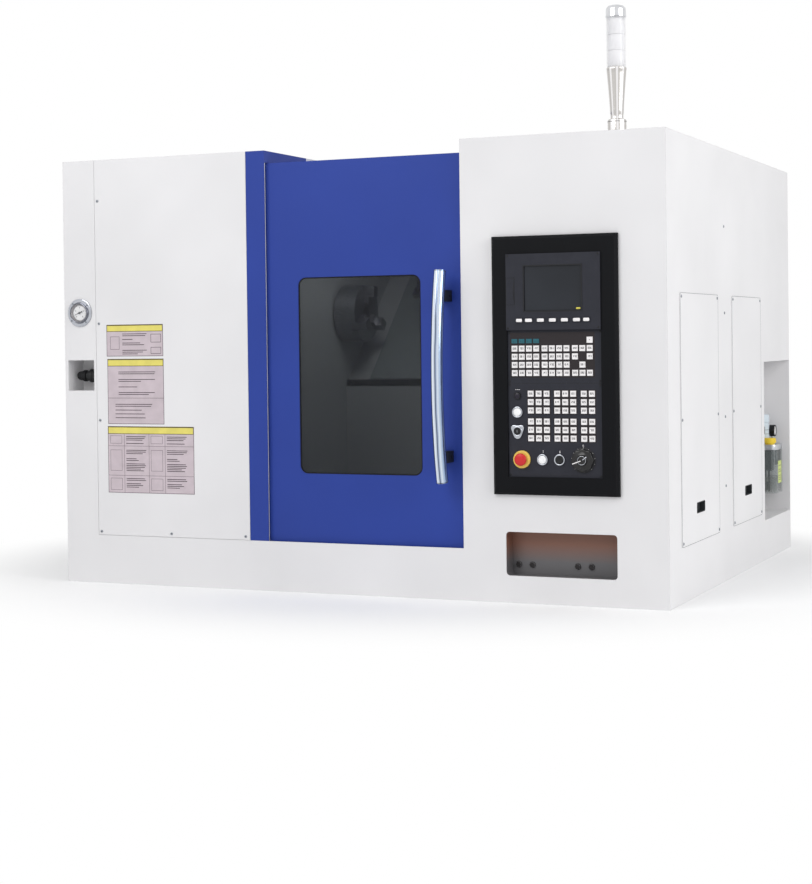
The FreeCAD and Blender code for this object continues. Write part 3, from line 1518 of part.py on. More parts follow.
def make_bed():
    """Hollow slant-bed casting with two box ways and the long screw's bearings."""
    bed = Solid("bed_casting")
    wall = size.bed_wall
    low = slope_point(-size.bed_low, -size.bed_drop)
    high = slope_point(size.bed_high, -size.bed_drop)
    outer = bed.profile("YZ_Plane", size.bed_left)
    outer.polygon([low, (low[0], frame_top), (size.bed_rear, frame_top), (size.bed_rear, high[1]), high])
    slope = wall / cosine(size.slant)
    corner = low[0] + wall
    outer.polygon([
        (corner, low[1] + wall * sine(size.slant) / cosine(size.slant) - slope),
        (corner, frame_top + wall),
        (size.bed_rear - wall, frame_top + wall), (size.bed_rear - wall, high[1] - wall),
        (
            high[0] - wall * (1 / cosine(size.slant) - 1) * cosine(size.slant) / sine(size.slant),
            high[1] - wall,
        ),
    ])
    bed.pad(outer, bed_right - size.bed_left)
    ways = bed.profile("YZ_Plane", opening_left - sheet)
    ways.polygon(way_outline(-size.way_low))
    ways.polygon(way_outline(size.way_high))
    bed.pad(ways, bed_right - opening_left + sheet)
    put(bed.body)
    reach = size.nut_half + sheet
    blocks = []
    for name, start in (("left", opening_left + sheet), ("right", bed_right - size.screw_block)):
        blocks.append(slide_box(
            name + "_screw_block", (start, start + size.screw_block),
            (size.screw_offset - reach, size.screw_offset + reach),
            (-size.bed_drop, -size.saddle_bottom - size.seam),
        ))
    servo = size.servo_half
    blocks.append(slide_box(
        "long_screw_motor", (bed_right, bed_right + size.servo_length),
        (size.screw_offset - servo, size.screw_offset + servo),
        (-size.screw_drop - servo, -size.screw_drop + servo),
    ))
    bore = rod("long_screw_bore", "X", (opening_left, *long_screw_point()),
               size.long_screw_radius + size.fit_gap, bed_right - opening_left)
    return cut("bed", fuse("bed_with_blocks", [bed.body] + blocks), [bore])


def make_headstock():
    """Headstock casting on the slope, with its bore for the bearings."""
    head = Solid("headstock")
    half, top, chamfer = size.head_half, size.head_top, size.head_chamfer
    outline = head.profile("YZ_Plane", size.head_left)
    outline.polygon([
        slope_point(-half, -size.bed_drop), slope_point(half, -size.bed_drop),
        slope_point(half, top - chamfer),
        slope_point(half - chamfer, top), slope_point(chamfer - half, top),
        slope_point(-half, top - chamfer),
    ])
    outline.circle((spindle_y, spindle_z), size.bearing_outer + size.fit_gap)
    head.pad(outline, size.head_length)
    return put(head.body)


def make_bearings():
    """Front and rear spindle bearings."""
    rings = []
    starts = (size.head_left + size.bearing_inset, head_right - size.bearing_inset - size.bearing_width)
    for number, start in enumerate(starts, 1):
        ring = Solid("bearing_%d" % number)
        outline = ring.profile("YZ_Plane", start)
        outline.circle((spindle_y, spindle_z), size.bearing_outer)
        outline.circle((spindle_y, spindle_z), size.spindle_radius + size.fit_gap)
        ring.pad(outline, size.bearing_width)
        rings.append(put(ring.body))
    return group("spindle_bearings", rings)


def make_spindle():
    """Hollow spindle with its nose, its pulley and the chuck's cylinder."""
    bore, shaft = size.spindle_bore, size.spindle_radius
    actuator_right = pulley_left - size.bearing_inset
    actuator_left = actuator_right - size.actuator_length
    spindle = turned("spindle", "XY_Plane", [
        (actuator_left, bore), (nose_right, bore),
        (nose_right, size.nose_radius), (nose_left, size.nose_radius),
        (nose_left, shaft), (pulley_right, shaft), (pulley_right, size.pulley_radius),
        (pulley_left, size.pulley_radius), (pulley_left, shaft), (actuator_right, shaft),
        (actuator_right, size.actuator_radius), (actuator_left, size.actuator_radius),
    ], (1, 0))
    return put(spindle, as_size(0), spindle_y, spindle_z)


def make_chuck():
    """Three-jaw chuck: a slotted body and three stepped jaws."""
    chuck = Solid("chuck_body")
    disc = chuck.profile("YZ_Plane", nose_right)
    disc.circle((0, 0), size.chuck_radius)
    disc.circle((0, 0), size.spindle_bore)
    chuck.pad(disc, size.chuck_length)
    half = size.jaw_width / 2
    slot = chuck.profile("YZ_Plane", chuck_face - size.chuck_slot)
    slot.rectangle((-half, half), (size.spindle_bore + sheet, size.chuck_radius + sheet))
    chuck.around(chuck.pocket(slot, size.chuck_slot + sheet), "X_Axis", 3)
    keep(put(chuck.body, as_size(0), spindle_y, spindle_z))
    for number in range(3):
        jaw = Solid("chuck_jaw_%d" % (number + 1))
        floor = chuck_face - size.chuck_slot + size.slide_gap
        side = half - size.slide_gap
        foot = jaw.profile("YZ_Plane", floor)
        foot.rectangle((-side, side), (size.jaw_inner, size.jaw_outer))
        jaw.pad(foot, size.jaw_length - size.jaw_step)
        step = jaw.profile("YZ_Plane", floor)
        step.rectangle((-side, side), (size.jaw_inner + size.jaw_step, size.jaw_outer))
        jaw.pad(step, size.jaw_length)
        turn = ((1, 0, 0), 120 * number) if number else None
        keep(put(jaw.body, as_size(0), spindle_y, spindle_z, turn=turn))


def make_spindle_drive():
    """Spindle motor on its stand, its pulley and the belt."""
    axis = (size.motor_back, size.motor_height)
    motor = Solid("spindle_motor")
    case = motor.profile("YZ_Plane", size.head_left)
    case.circle(axis, size.motor_radius)
    motor.pad(case, size.motor_length)
    stand = motor.profile("YZ_Plane", size.head_left)
    half = size.motor_radius * 0.8
    stand.rectangle((axis[0] - half, axis[0] + half), (frame_top, axis[1] - size.motor_radius * 0.5))
    motor.pad(stand, size.motor_length)
    bore = motor.profile("YZ_Plane", size.head_left)
    bore.circle(axis, size.motor_shaft + size.fit_gap)
    motor.pocket(bore, size.pulley_width)
    keep(put(motor.body))
    shaft_end = size.head_left + size.pulley_width / 2
    pulley = turned("motor_pulley", "XY_Plane", [
        (pulley_left, 0), (shaft_end, 0), (shaft_end, size.motor_shaft), (pulley_right, size.motor_shaft),
        (pulley_right, size.motor_pulley_radius), (pulley_left, size.motor_pulley_radius),
    ], (1, 0))
    keep(put(pulley, as_size(0), *axis))
    belt = Solid("drive_belt")
    loop = belt.profile("YZ_Plane", pulley_left + (size.pulley_width - size.belt_width) / 2)
    big = size.pulley_radius + size.slide_gap
    small = size.motor_pulley_radius + size.slide_gap
    loop.belt((spindle_y, spindle_z), big + size.belt_thickness, axis, small + size.belt_thickness)
    loop.belt((spindle_y, spindle_z), big, axis, small)
    belt.pad(loop, size.belt_width)
    keep(put(belt.body))


def make_saddle():
    """Saddle on the ways, with its nut, cross rails, cross motor and way covers."""
    section = []
    shoe, slot = size.shoe_width / 2, size.way_width / 2 + size.slide_gap
    sole = -size.bed_drop + size.slot_gap
    ceiling = -size.bed_drop + size.way_height + size.slide_gap
    under = -size.saddle_bottom
    points = [(-size.saddle_low, under)]
    for s in (-size.way_low, size.way_high):
        points += [
            (s - shoe, under), (s - shoe, sole), (s - slot, sole), (s - slot, ceiling),
            (s + slot, ceiling), (s + slot, sole), (s + shoe, sole), (s + shoe, under),
        ]
    points += [
        (size.saddle_high, under), (size.saddle_high, -size.saddle_top),
        (-size.saddle_low, -size.saddle_top),
    ]
    saddle = Solid("saddle_casting")
    outline = saddle.profile("YZ_Plane", size.saddle_left)
    outline.polygon([slope_point(s, n) for s, n in points])
    saddle.pad(outline, size.saddle_length)
    fixed_top = -size.guard_drop + sheet
    left_guard = saddle.profile("YZ_Plane", size.saddle_left - size.guard_length)
    left_guard.polygon(slope_strip(
        -size.saddle_low, slope_end(size.guard_drop) - sheet, fixed_top + size.guard_gap, sheet
    ))
    saddle.pad(left_guard, size.guard_length)
    right_guard = saddle.profile("YZ_Plane", saddle_right)
    right_drop = size.saddle_top + 2 * size.slot_gap + sheet
    right_guard.polygon(slope_strip(-size.saddle_low, slope_end(right_drop) - sheet, -right_drop, sheet))
    saddle.pad(right_guard, size.guard_length)
    put(saddle.body)
    half = size.nut_half
    fittings = [slide_box(
        "long_nut", (saddle_middle - half, saddle_middle + half),
        (size.screw_offset - half, size.screw_offset + half), (-size.bed_drop + size.seam, under),
    )]
    for number, (start, end) in enumerate(cross_rails(), 1):
        fittings.append(slide_box(
            "cross_rail_%d" % number, (start, end), (size.cross_rail_start, size.saddle_high),
            (-size.saddle_top, -size.saddle_top + size.cross_rail_height),
        ))
    block = size.short_screw_radius * 2
    fittings.append(slide_box(
        "cross_screw_block", (saddle_middle - block, saddle_middle + block),
        (size.cross_rail_start - block, size.cross_rail_start),
        (-size.saddle_top, -size.cross_bottom - size.seam),
    ))
    servo = size.cross_servo_half
    fittings.append(slide_box(
        "cross_servo", (saddle_middle - servo, saddle_middle + servo),
        (size.saddle_high, size.saddle_high + size.cross_servo_length),
        (-size.short_screw_drop - servo, -size.short_screw_drop + servo),
    ))
    bore = rod("long_nut_bore", "X", (size.saddle_left, *long_screw_point()),
               size.long_screw_radius + size.fit_gap, size.saddle_length)
    end_bore = cross_screw("cross_block_bore", size.fit_gap)
    return cut("saddle", fuse("saddle_assembly", [saddle.body] + fittings), [bore, end_bore])


def cross_rails():
    """Left and right edges of the two cross rails."""
    inset = size.shoe_width / 2
    rail = size.cross_rail_width
    left = size.saddle_left + inset
    right = saddle_right - inset - rail
    return [(left, left + rail), (right, right + rail)]


def cross_screw(label, extra):
    """A round bar up the slope, over the saddle, ending at the cross motor."""
    bar = Solid(label)
    start = size.cross_rail_start - 2 * size.short_screw_radius
    outline = bar.profile("XZ_Plane", start)
    outline.circle((0, 0), size.short_screw_radius + extra)
    bar.pad(outline, size.saddle_high - start - size.slide_gap)
    return put_on_slide(bar.body, saddle_middle, as_size(0), -size.short_screw_drop)


def make_cross_slide():
    """Plate on the cross rails that carries the turret housing."""
    low = size.cross_position - size.cross_half
    high = size.cross_position + size.cross_half
    sole = -size.saddle_top + size.slot_gap * 2
    parts = [slide_box("cross_plate", (size.saddle_left, saddle_right), (low, high),
                       (-size.cross_bottom, -size.cross_top))]
    slots = []
    gap = size.slide_gap
    wing = size.cross_rail_width / 2
    for number, (start, end) in enumerate(cross_rails(), 1):
        parts.append(slide_box("cross_shoe_%d" % number, (start - wing, end + wing), (low, high),
                               (sole, -size.cross_bottom)))
        slots.append(slide_box("cross_slot_%d" % number, (start - gap, end + gap), (low, high),
                               (-size.saddle_top, -size.saddle_top + size.cross_rail_height + gap)))
    nut = 2 * size.short_screw_radius
    parts.append(slide_box("cross_nut", (saddle_middle - nut, saddle_middle + nut),
                           (size.cross_position - nut, size.cross_position + nut),
                           (-size.saddle_top + size.seam, -size.cross_bottom)))
    half = size.turret_half
    parts.append(slide_box(
        "turret_housing",
        (turret_face, saddle_right - size.turret_gap),
        (size.cross_position - half, size.cross_position + half),
        (-size.cross_top, half),
    ))
    turret = slope_point(size.cross_position, 0)
    slots.append(
        rod("turret_bore", "X", (turret_face, *turret), size.disc_shaft + size.fit_gap, size.disc_width),
    )
    slots.append(cross_screw("cross_nut_bore", size.fit_gap))
    return cut("cross_slide", fuse("cross_assembly", parts), slots)


turret_face = size.saddle_left


def make_turret():
    """Eight-sided turret disc with a tool holder and a tool on each flat."""
    turret = Solid("turret_disc")
    right = turret_face - size.turret_gap
    left = right - size.disc_width
    flat = size.disc_radius
    corner = flat / math.cos(math.radians(22.5))
    outline = turret.profile("YZ_Plane", left)
    angles = [math.radians(22.5 + 45 * number) for number in range(8)]
    outline.polygon([(corner * math.cos(angle), corner * math.sin(angle)) for angle in angles])
    turret.pad(outline, size.disc_width)
    shaft = turret.profile("YZ_Plane", right)
    shaft.circle((0, 0), size.disc_shaft)
    turret.pad(shaft, size.turret_gap + size.disc_width * 0.8)
    cap = turret.profile("YZ_Plane", left - size.turret_gap)
    cap.circle((0, 0), size.disc_shaft * 1.3)
    turret.pad(cap, size.turret_gap)
    holder = turret.profile("YZ_Plane", left + sheet)
    half = size.tool_width / 2
    holder.rectangle((-half, half), (flat - sheet, flat + size.tool_height))
    turret.around(turret.pad(holder, size.disc_width - 2 * sheet), "X_Axis", 8)
    tool = turret.profile("YZ_Plane", left - size.tool_shank / 2)
    shank = size.tool_shank / 2
    tool.rectangle(
        (-shank, shank),
        (flat + size.tool_height - size.tool_shank, flat + size.tool_height + size.tool_reach),
    )
    turret.around(turret.pad(tool, size.tool_shank), "X_Axis", 8)
    return put(turret.body, as_size(0), *slope_point(size.cross_position, 0))


def make_cabinet_units():
    """Closed units that stand on the base frame behind the skins."""
    coolant = box(
        "coolant_tank", (opening_left + size.frame_beam / 4, opening_right - size.frame_beam / 4),
        (size.frame_beam, size.frame_beam + size.coolant_depth),
        (frame_top, frame_top + size.coolant_height),
    )
    left = opening_right + size.frame_beam / 4
    electric_back = depth - sheet
    electric = box(
        "electrical_cabinet", (left, left + size.electric_width),
        (electric_back - size.electric_depth, electric_back),
        (frame_top, frame_top + size.electric_height),
    )
    tank_top = frame_top + size.hydraulic_height
    front = sheet + size.frame_beam * 0.65
    hydraulic = fuse("hydraulic_unit", [
        box("hydraulic_tank", (left, left + size.hydraulic_width), (front, front + size.hydraulic_depth),
            (frame_top, tank_top)),
        rod(
            "hydraulic_pump",
            "Z",
            (left + size.hydraulic_width / 2, front + size.hydraulic_depth / 2, tank_top),
            size.hydraulic_pump_radius,
            size.hydraulic_pump_height,
        ),
    ])
    screw_left = opening_left + sheet
    screw = rod("long_screw", "X", (screw_left, *long_screw_point()), size.long_screw_radius,
                bed_right - screw_left - size.slide_gap)
    return coolant, electric, hydraulic, screw


def build():
    """Make every piece, in the order from the floor up and from the front back."""
    keep(make_base_frame(), make_feet(), make_bed(), make_headstock(), make_bearings(), make_spindle())
    make_chuck()
    make_spindle_drive()
    keep(make_saddle(), cross_screw("cross_screw", 0), make_cross_slide(), make_turret())
    keep(*make_cabinet_units())
    keep(
        make_chip_pan(),
        make_left_bulkhead(),
        make_right_bulkhead(),
        make_work_roof(),
        make_door_header(),
    )
    keep(make_front_skin(), make_left_cover(), make_front_post(), make_left_housing())
    keep(make_right_housing(), make_rear_panel())
    front, rear = side_covers()
    keep(make_side_cover("right_front_cover", *front, size.pull_offset))
    keep(make_side_cover("right_rear_cover", *rear, size.rear_pull_offset))
    keep(make_door_panel(), *make_window(), *make_handle(), make_door_runners())
    keep(make_panel_frame(), make_display_unit(), make_keyboard_unit(), make_operator_unit())
    make_controls()
    make_gauge()
    make_regulator()
    keep(make_pocket_liner(), *make_stack_light(), make_screws(), *make_lubricator())


def check():
    """Stop on a failed object, a bad shape or a cut that removed nothing."""
    document.recompute()
    for thing in document.Objects:
        if "Invalid" in thing.State or "Error" in thing.State:
            raise RuntimeError("%s failed: %s" % (thing.Label, thing.State))
    for feature in CUTS:
        before = feature.Base if feature.isDerivedFrom("Part::Cut") else feature.BaseFeature
        if before.Shape.Volume - feature.Shape.Volume < 0.01:
            raise RuntimeError("%s cuts nothing" % feature.FullName)
    for piece in PIECES:
        if piece.Shape.isNull() or not piece.Shape.isValid():
            raise RuntimeError("%s has a bad shape" % piece.Label)


def export():
    os.makedirs("parts", exist_ok=True)
    for piece in PIECES:
        piece.Shape.exportStep("parts/%s.step" % piece.Label)
        print("%-20s %d solids %12.0f mm3" % (piece.Label, len(piece.Shape.Solids), piece.Shape.Volume))
    print(len(PIECES), "pieces")


build()
check()
export()
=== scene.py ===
"""Looks of the turning lathe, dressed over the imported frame.

Node boxes and added shapes are in millimetres; Shape turns them into metres.
"""

import bmesh
import bpy
from math import asin, atan2, cos, hypot, pi, radians, sin
from mathutils import Matrix, Vector


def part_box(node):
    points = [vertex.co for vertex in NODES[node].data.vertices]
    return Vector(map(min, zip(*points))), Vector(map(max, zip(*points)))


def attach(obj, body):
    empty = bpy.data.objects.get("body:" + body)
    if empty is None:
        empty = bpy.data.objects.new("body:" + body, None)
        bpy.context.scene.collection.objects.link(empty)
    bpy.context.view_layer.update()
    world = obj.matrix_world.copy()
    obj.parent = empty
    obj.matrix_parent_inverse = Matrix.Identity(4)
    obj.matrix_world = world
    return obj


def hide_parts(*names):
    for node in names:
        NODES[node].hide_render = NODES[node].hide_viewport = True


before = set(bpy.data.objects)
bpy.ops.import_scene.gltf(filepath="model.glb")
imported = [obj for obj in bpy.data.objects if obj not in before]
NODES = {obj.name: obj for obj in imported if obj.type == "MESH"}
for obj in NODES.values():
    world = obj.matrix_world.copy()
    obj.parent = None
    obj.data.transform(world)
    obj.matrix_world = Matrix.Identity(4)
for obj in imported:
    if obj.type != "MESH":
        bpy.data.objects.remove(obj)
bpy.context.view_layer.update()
SCENE = bpy.context.scene


def at(x, y, z):
    return Vector((x, y, z))


def add_object(name, data):
    """An object in the scene, from its mesh, lamp or camera."""
    item = bpy.data.objects.new(name, data)
    SCENE.collection.objects.link(item)
    return item


# ---- camera
PHOTO_HEIGHT = 884
HORIZON_ROW = 364.6
FOCAL_PIXELS = 1825
SENSOR = 36
YAW, PITCH, ROLL = (radians(angle) for angle in (23.532, -0.830, -0.702))
CAMERA_PLACE = (2.6215, -6.3655, 0.856)


def make_camera():
    """Camera solved from the photograph's edges."""
    level = cos(PITCH)
    forward = at(-sin(YAW) * level, cos(YAW) * level, sin(PITCH))
    right = at(cos(YAW), sin(YAW), 0)
    up = right.cross(forward)
    right_rolled = right * cos(ROLL) + up * sin(ROLL)
    up_rolled = up * cos(ROLL) - right * sin(ROLL)
    turn = Matrix((right_rolled, up_rolled, -forward)).transposed()
    data = bpy.data.cameras.new("camera")
    data.sensor_width = SENSOR
    data.lens = FOCAL_PIXELS * SENSOR / PHOTO_HEIGHT
    data.shift_y = -(PHOTO_HEIGHT / 2 - HORIZON_ROW) / PHOTO_HEIGHT
    camera = add_object("camera", data)
    camera.matrix_world = Matrix.Translation(CAMERA_PLACE) @ turn.to_4x4()
    SCENE.camera = camera


make_camera()


# ---- nodes of the materials
def set_inputs(tree, node, inputs):
    """Link or set a node's inputs, by their names or numbers."""
    for name, value in inputs.items():
        if isinstance(value, bpy.types.NodeSocket):
            tree.links.new(value, node.inputs[name])
        else:
            node.inputs[name].default_value = value


def add_node(tree, kind, inputs=None, **settings):
    """The outputs of a new shader node."""
    node = tree.nodes.new("ShaderNode" + kind)
    for name, value in settings.items():
        setattr(node, name, value)
    set_inputs(tree, node, inputs or {})
    return node.outputs


def calculate(tree, operation, *values):
    """What a Math node makes of its inputs."""
    return add_node(tree, "Math", dict(enumerate(values)), operation=operation)[0]


def share_between(tree, value, start, end, **settings):
    """How far a value lies between two ends, from 0 to 1."""
    ends = {"Value": value, "From Min": start, "From Max": end}
    return add_node(tree, "MapRange", ends, **settings)["Result"]


def model_spot(tree, scale=None):
    """The model's own coordinates, scaled or as they are."""
    spot = add_node(tree, "TexCoord")["Object"]
    if scale:
        spot = add_node(tree, "Mapping", {"Vector": spot, "Scale": scale})["Vector"]
    return spot


def position(tree):
    """The model's own coordinates, axis by axis."""
    return add_node(tree, "SeparateXYZ", {"Vector": model_spot(tree)})


def noise(tree, scale, detail=3, rough=0.5, stretch=(1, 1, 1)):
    """Noise over the model's own coordinates."""
    spot = model_spot(tree, stretch)
    inputs = {"Vector": spot, "Scale": scale, "Detail": detail, "Roughness": rough}
    return add_node(tree, "TexNoise", inputs)["Fac"]


def bands(tree, value, stops):
    """Colours mixed over a value, each at its own place."""
    mixed = add_node(tree, "ValToRGB", {"Fac": value})["Color"]
    elements = mixed.node.color_ramp.elements
    for place, colour in stops[1:-1]:
        elements.new(place)
    for element, (place, colour) in zip(elements, stops):
        element.position = place
        element.color = colour
    return mixed


def ramp(tree, value, low, high):
    """Two colours mixed over the middle of a value's range."""
    return bands(tree, value, ((0.3, low), (0.7, high)))


def bump(tree, height, strength, distance, edge=0.0):
    """Small relief, over edges that look rounded."""
    inputs = {"Height": height, "Strength": strength, "Distance": distance}
    if edge:
        inputs["Normal"] = add_node(tree, "Bevel", {"Radius": edge}, samples=4)["Normal"]
    return add_node(tree, "Bump", inputs)["Normal"]


def linear(colour, factor=1):
    """Screen colour 0-255 to linear values, times a factor."""
    out = []
    for part in colour:
        part = part / 255
        part = part / 12.92 if part <= 0.04045 else ((part + 0.055) / 1.055) ** 2.4
        out.append(part * factor)
    return (*out, 1)


def grey(value):
    return (value, value, value, 1)


# ---- materials
SHADER = "Principled BSDF"
PAINT_EDGE = 0.0018
# Count of painted reflection streaks around the stack light's stand.
PAINTED_STREAKS_AROUND = 9
# Painted reflections on the door handle: colour stops across the bar.
PAINTED_REFLECTION_STREAKS = (
    (0.0, (70, 92, 150)), (0.14, (150, 170, 200)), (0.3, (236, 242, 248)), (0.46, (190, 202, 218)),
    (0.53, (58, 68, 92)), (0.6, (150, 164, 190)), (0.72, (216, 226, 238)), (0.88, (160, 180, 208)),
    (1.0, (84, 104, 158)),
)
PAINTED_STREAK_WANDER = 0.005


def look(inputs_of):
    """Let a function that gives shader inputs make a material."""
    def make(name, *values, **settings):
        material = bpy.data.materials.new(name)
        material.use_nodes = True
        tree = material.node_tree
        set_inputs(tree, tree.nodes[SHADER], inputs_of(tree, *values, **settings))
        return material
    return make


@look
def paint(tree, colour, roughness=0.42, peel=0.0004, tone=0.05, shine=0.5):
    """Sprayed paint with slight orange peel and uneven gloss."""
    return {
        "Base Color": ramp(
            tree, noise(tree, 2.3, 2), linear(colour, 1 - tone), linear(colour, 1 + tone * 0.4)
        ),
        "Roughness": ramp(tree, noise(tree, 9, 4), grey(roughness - 0.05), grey(roughness + 0.06)),
        "Normal": bump(tree, noise(tree, 420, 2), 0.25, peel, PAINT_EDGE),
        "Specular IOR Level": shine,
    }


@look
def moulded(tree, colour, roughness=0.4, grain=900, depth=0.0003, shine=0.3):
    """Moulded plastic with a fine texture."""
    fine = noise(tree, grain, 2)
    return {
        "Base Color": ramp(tree, noise(tree, 30, 3), linear(colour, 0.93), linear(colour, 1.05)),
        "Roughness": ramp(tree, fine, grey(roughness - 0.06), grey(roughness + 0.08)),
        "Normal": bump(tree, fine, 0.3, depth),
        "Specular IOR Level": shine,
    }


@look
def metal(tree, colour, roughness=0.25, stretch=(1, 1, 40), scale=90):
    """Bare metal with fine lines along one direction."""
    lines = noise(tree, scale, 3, 0.6, stretch)
    return {
        "Base Color": ramp(tree, lines, linear(colour, 0.88), linear(colour, 1.06)),
        "Roughness": ramp(tree, lines, grey(roughness * 0.8), grey(roughness * 1.35)),
        "Normal": bump(tree, lines, 0.2, 0.0001),
        "Metallic": 1,
    }


@look
def clear_plastic(tree, colour, alpha, roughness=0.06, shine=0.5):
    """See-through plastic or glass."""
    faint = noise(tree, 12, 2)
    return {
        "Base Color": ramp(tree, faint, linear(colour, 0.94), linear(colour)),
        "Roughness": ramp(tree, faint, grey(roughness), grey(roughness + 0.05)),
        "Alpha": alpha, "Specular IOR Level": shine,
    }


@look
def chrome_painted_reflection_bar(tree, node):
    """Chrome with painted reflections: light and dark streaks painted along a bar."""
    low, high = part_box(node)
    wander = noise(tree, 7, 2, 0.5, (0.2, 0.2, 1))
    across = calculate(tree, "MULTIPLY_ADD", wander, PAINTED_STREAK_WANDER, position(tree)["X"])
    share = share_between(tree, across, low.x + PAINTED_STREAK_WANDER / 2, high.x + PAINTED_STREAK_WANDER / 2)
    return {
        "Base Color": bands(tree, share, [(place, linear(colour)) for place, colour in PAINTED_REFLECTION_STREAKS]),
        "Roughness": ramp(tree, noise(tree, 30, 2), grey(0.16), grey(0.24)),
        "Metallic": 1,
    }


@look
def chrome_painted_reflection_post(tree, node):
    """Chrome with painted reflections: darker and lighter streaks painted up a round post, by the angle
    around it.
    """
    middle = sum(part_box(node), Vector()) / 2
    spot = position(tree)
    off_axis = [calculate(tree, "SUBTRACT", spot[axis], middle[axis]) for axis in (0, 1)]
    around = calculate(tree, "MULTIPLY", calculate(tree, "ARCTAN2", *off_axis), PAINTED_STREAKS_AROUND)
    wave = calculate(tree, "COSINE", around)
    return {
        "Base Color": ramp(tree, wave, linear((196, 193, 190)), linear((240, 238, 238))),
        "Roughness": 0.22, "Metallic": 1,
    }


@look
def painted_light_fade(tree, node, low_colour, high_colour):
    """Paint with painted light: its colour changes up a node, standing in for light and shade."""
    low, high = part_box(node)
    upward = share_between(tree, position(tree)["Z"], low.z, high.z)
    return {"Base Color": ramp(tree, upward, linear(low_colour), linear(high_colour)), "Roughness": 0.45}


WHITE = paint("white_paint", (228, 227, 228))
BLUE = paint("blue_paint", (40, 64, 150), 0.45, tone=0.08, shine=0.25)
BLACK = paint("black_paint", (14, 15, 18), 0.55, shine=0.1)
GREY = paint("grey_enamel", (186, 192, 192), 0.5)
DARK = paint("dark_enamel", (66, 70, 74), 0.5)
CASTING = paint("casting_enamel", (150, 160, 160), 0.55, 0.0015)
BEZEL = moulded("bezel_plastic", (47, 48, 55), 0.5, shine=0.14)
KEYPLATE = moulded("key_plate", (30, 30, 34), 0.45)
PLASTIC = moulded("black_plastic", (22, 23, 25), 0.42)
WHITE_PLASTIC = moulded("white_plastic", (232, 231, 225), 0.35)
RED = moulded("red_plastic", (205, 46, 48), 0.3)
MILKY = moulded("milky_plastic", (214, 220, 222), 0.35)
RUBBER = moulded("black_rubber", (16, 16, 17), 0.75, 300)
CHROME = metal("chrome", (186, 189, 196), 0.12, (1, 1, 1), 40)
# A lighter copy of chrome for the stack light's cap: painted highlight.
CHROME_PAINTED_HIGHLIGHT = metal("bright_chrome", (216, 217, 220), 0.14, (1, 1, 1), 40)
# A darker copy of chrome for the gauge rim: painted shade.
CHROME_PAINTED_SHADE = metal("rim_chrome", (128, 130, 138), 0.16, (1, 1, 1), 60)
STEEL = metal("ground_steel", (170, 172, 176), 0.28, (1, 30, 30), 60)
ALUMINIUM = metal("aluminium", (196, 199, 203), 0.32)
SCREW = metal("screw_steel", (150, 154, 160), 0.3, (1, 1, 1), 300)
GLASS = clear_plastic("window_glass", (26, 27, 33), 0.42, 0.06, 0.25)
TUBE = clear_plastic("clear_tube", (240, 240, 242), 0.24)
# Painted light in the pocket: darker grey low down, lighter and warmer brown higher up.
POCKET_PAINTED_LIGHT = painted_light_fade("pocket_paint", "pocket_liner", (98, 97, 99), (132, 92, 76))
# Door handle chrome with painted reflection streaks.
HANDLE_CHROME_PAINTED_REFLECTIONS = chrome_painted_reflection_bar("handle_chrome", "door_handle")

FINISH = (
    (WHITE, "front_skin left_cover left_housing right_housing rear_panel right_front_cover right_rear_cover"),
    (BLUE, "work_roof front_post door_panel"),
    (BLACK, "panel_frame"),
    (GREY, "coolant_tank electrical_cabinet hydraulic_unit chip_pan left_bulkhead right_bulkhead"),
    (DARK, "base_frame spindle_motor door_header"),
    (CASTING, "bed headstock saddle cross_slide"),
    (BEZEL, "display_unit keyboard_unit operator_unit"),
    (PLASTIC, "handle_blocks door_runners stop_button override_wheel gauge_needle regulator_knob"),
    (WHITE_PLASTIC, "mode_button start_button"),
    (RED, "emergency_stop"),
    (MILKY, "lubricator_tank"),
    (RUBBER, "levelling_feet drive_belt window_gasket"),
    (CHROME, "key_switch gauge_body stack_light_base"),
    (STEEL, "spindle_bearings spindle chuck_body chuck_jaw_1 chuck_jaw_2 chuck_jaw_3 cross_screw "
            "turret_disc long_screw"),
    (ALUMINIUM, "motor_pulley regulator_body lubricator_pump"),
    (SCREW, "cover_screws"),
    (GLASS, "door_window"),
    (TUBE, "stack_light_tube"),
    (POCKET_PAINTED_LIGHT, "pocket_liner"),
    (HANDLE_CHROME_PAINTED_REFLECTIONS, "door_handle"),
)
for material, nodes in FINISH:
    for node in nodes.split():
        mesh = NODES[node].data
        mesh.materials.clear()
        mesh.materials.append(material)


# ---- mesh building
MM = 0.001
TINY = 0.001
FRONT = at(0, -1, 0)
RIGHT = at(1, 0, 0)
UP = at(0, 0, 1)


def box(node):
    """A node's low and high corner, in millimetres."""
    return [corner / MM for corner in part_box(node)]


def middle_of(node, y=None):
    """A node's middle, or the point before it at a given Y."""
    low, high = box(node)
    middle = (low + high) / 2
    if y is not None:
        middle.y = y
    return middle


def on_circle(radius, angle):
    """A point on a circle, by an angle in radians."""
    return radius * cos(angle), radius * sin(angle)


def swivel(place, degrees, axis):
    """A turn about an axis through a place."""
    return Matrix.Translation(place * MM) @ Matrix.Rotation(radians(degrees), 4, axis)


def cube(middle, sides):
    """A box as a part of its own, in metres."""
    part = bmesh.new()
    place = Matrix.Translation(middle) @ Matrix.Diagonal((*map(abs, sides), 1))
    bmesh.ops.create_cube(part, size=1, matrix=place)
    return part


def soften(part, edges, width, segments=2):
    """Round some edges of a part."""
    if width:
        bmesh.ops.bevel(
            part, geom=edges, offset=width * MM, segments=segments, affect="EDGES", profile=0.5
        )


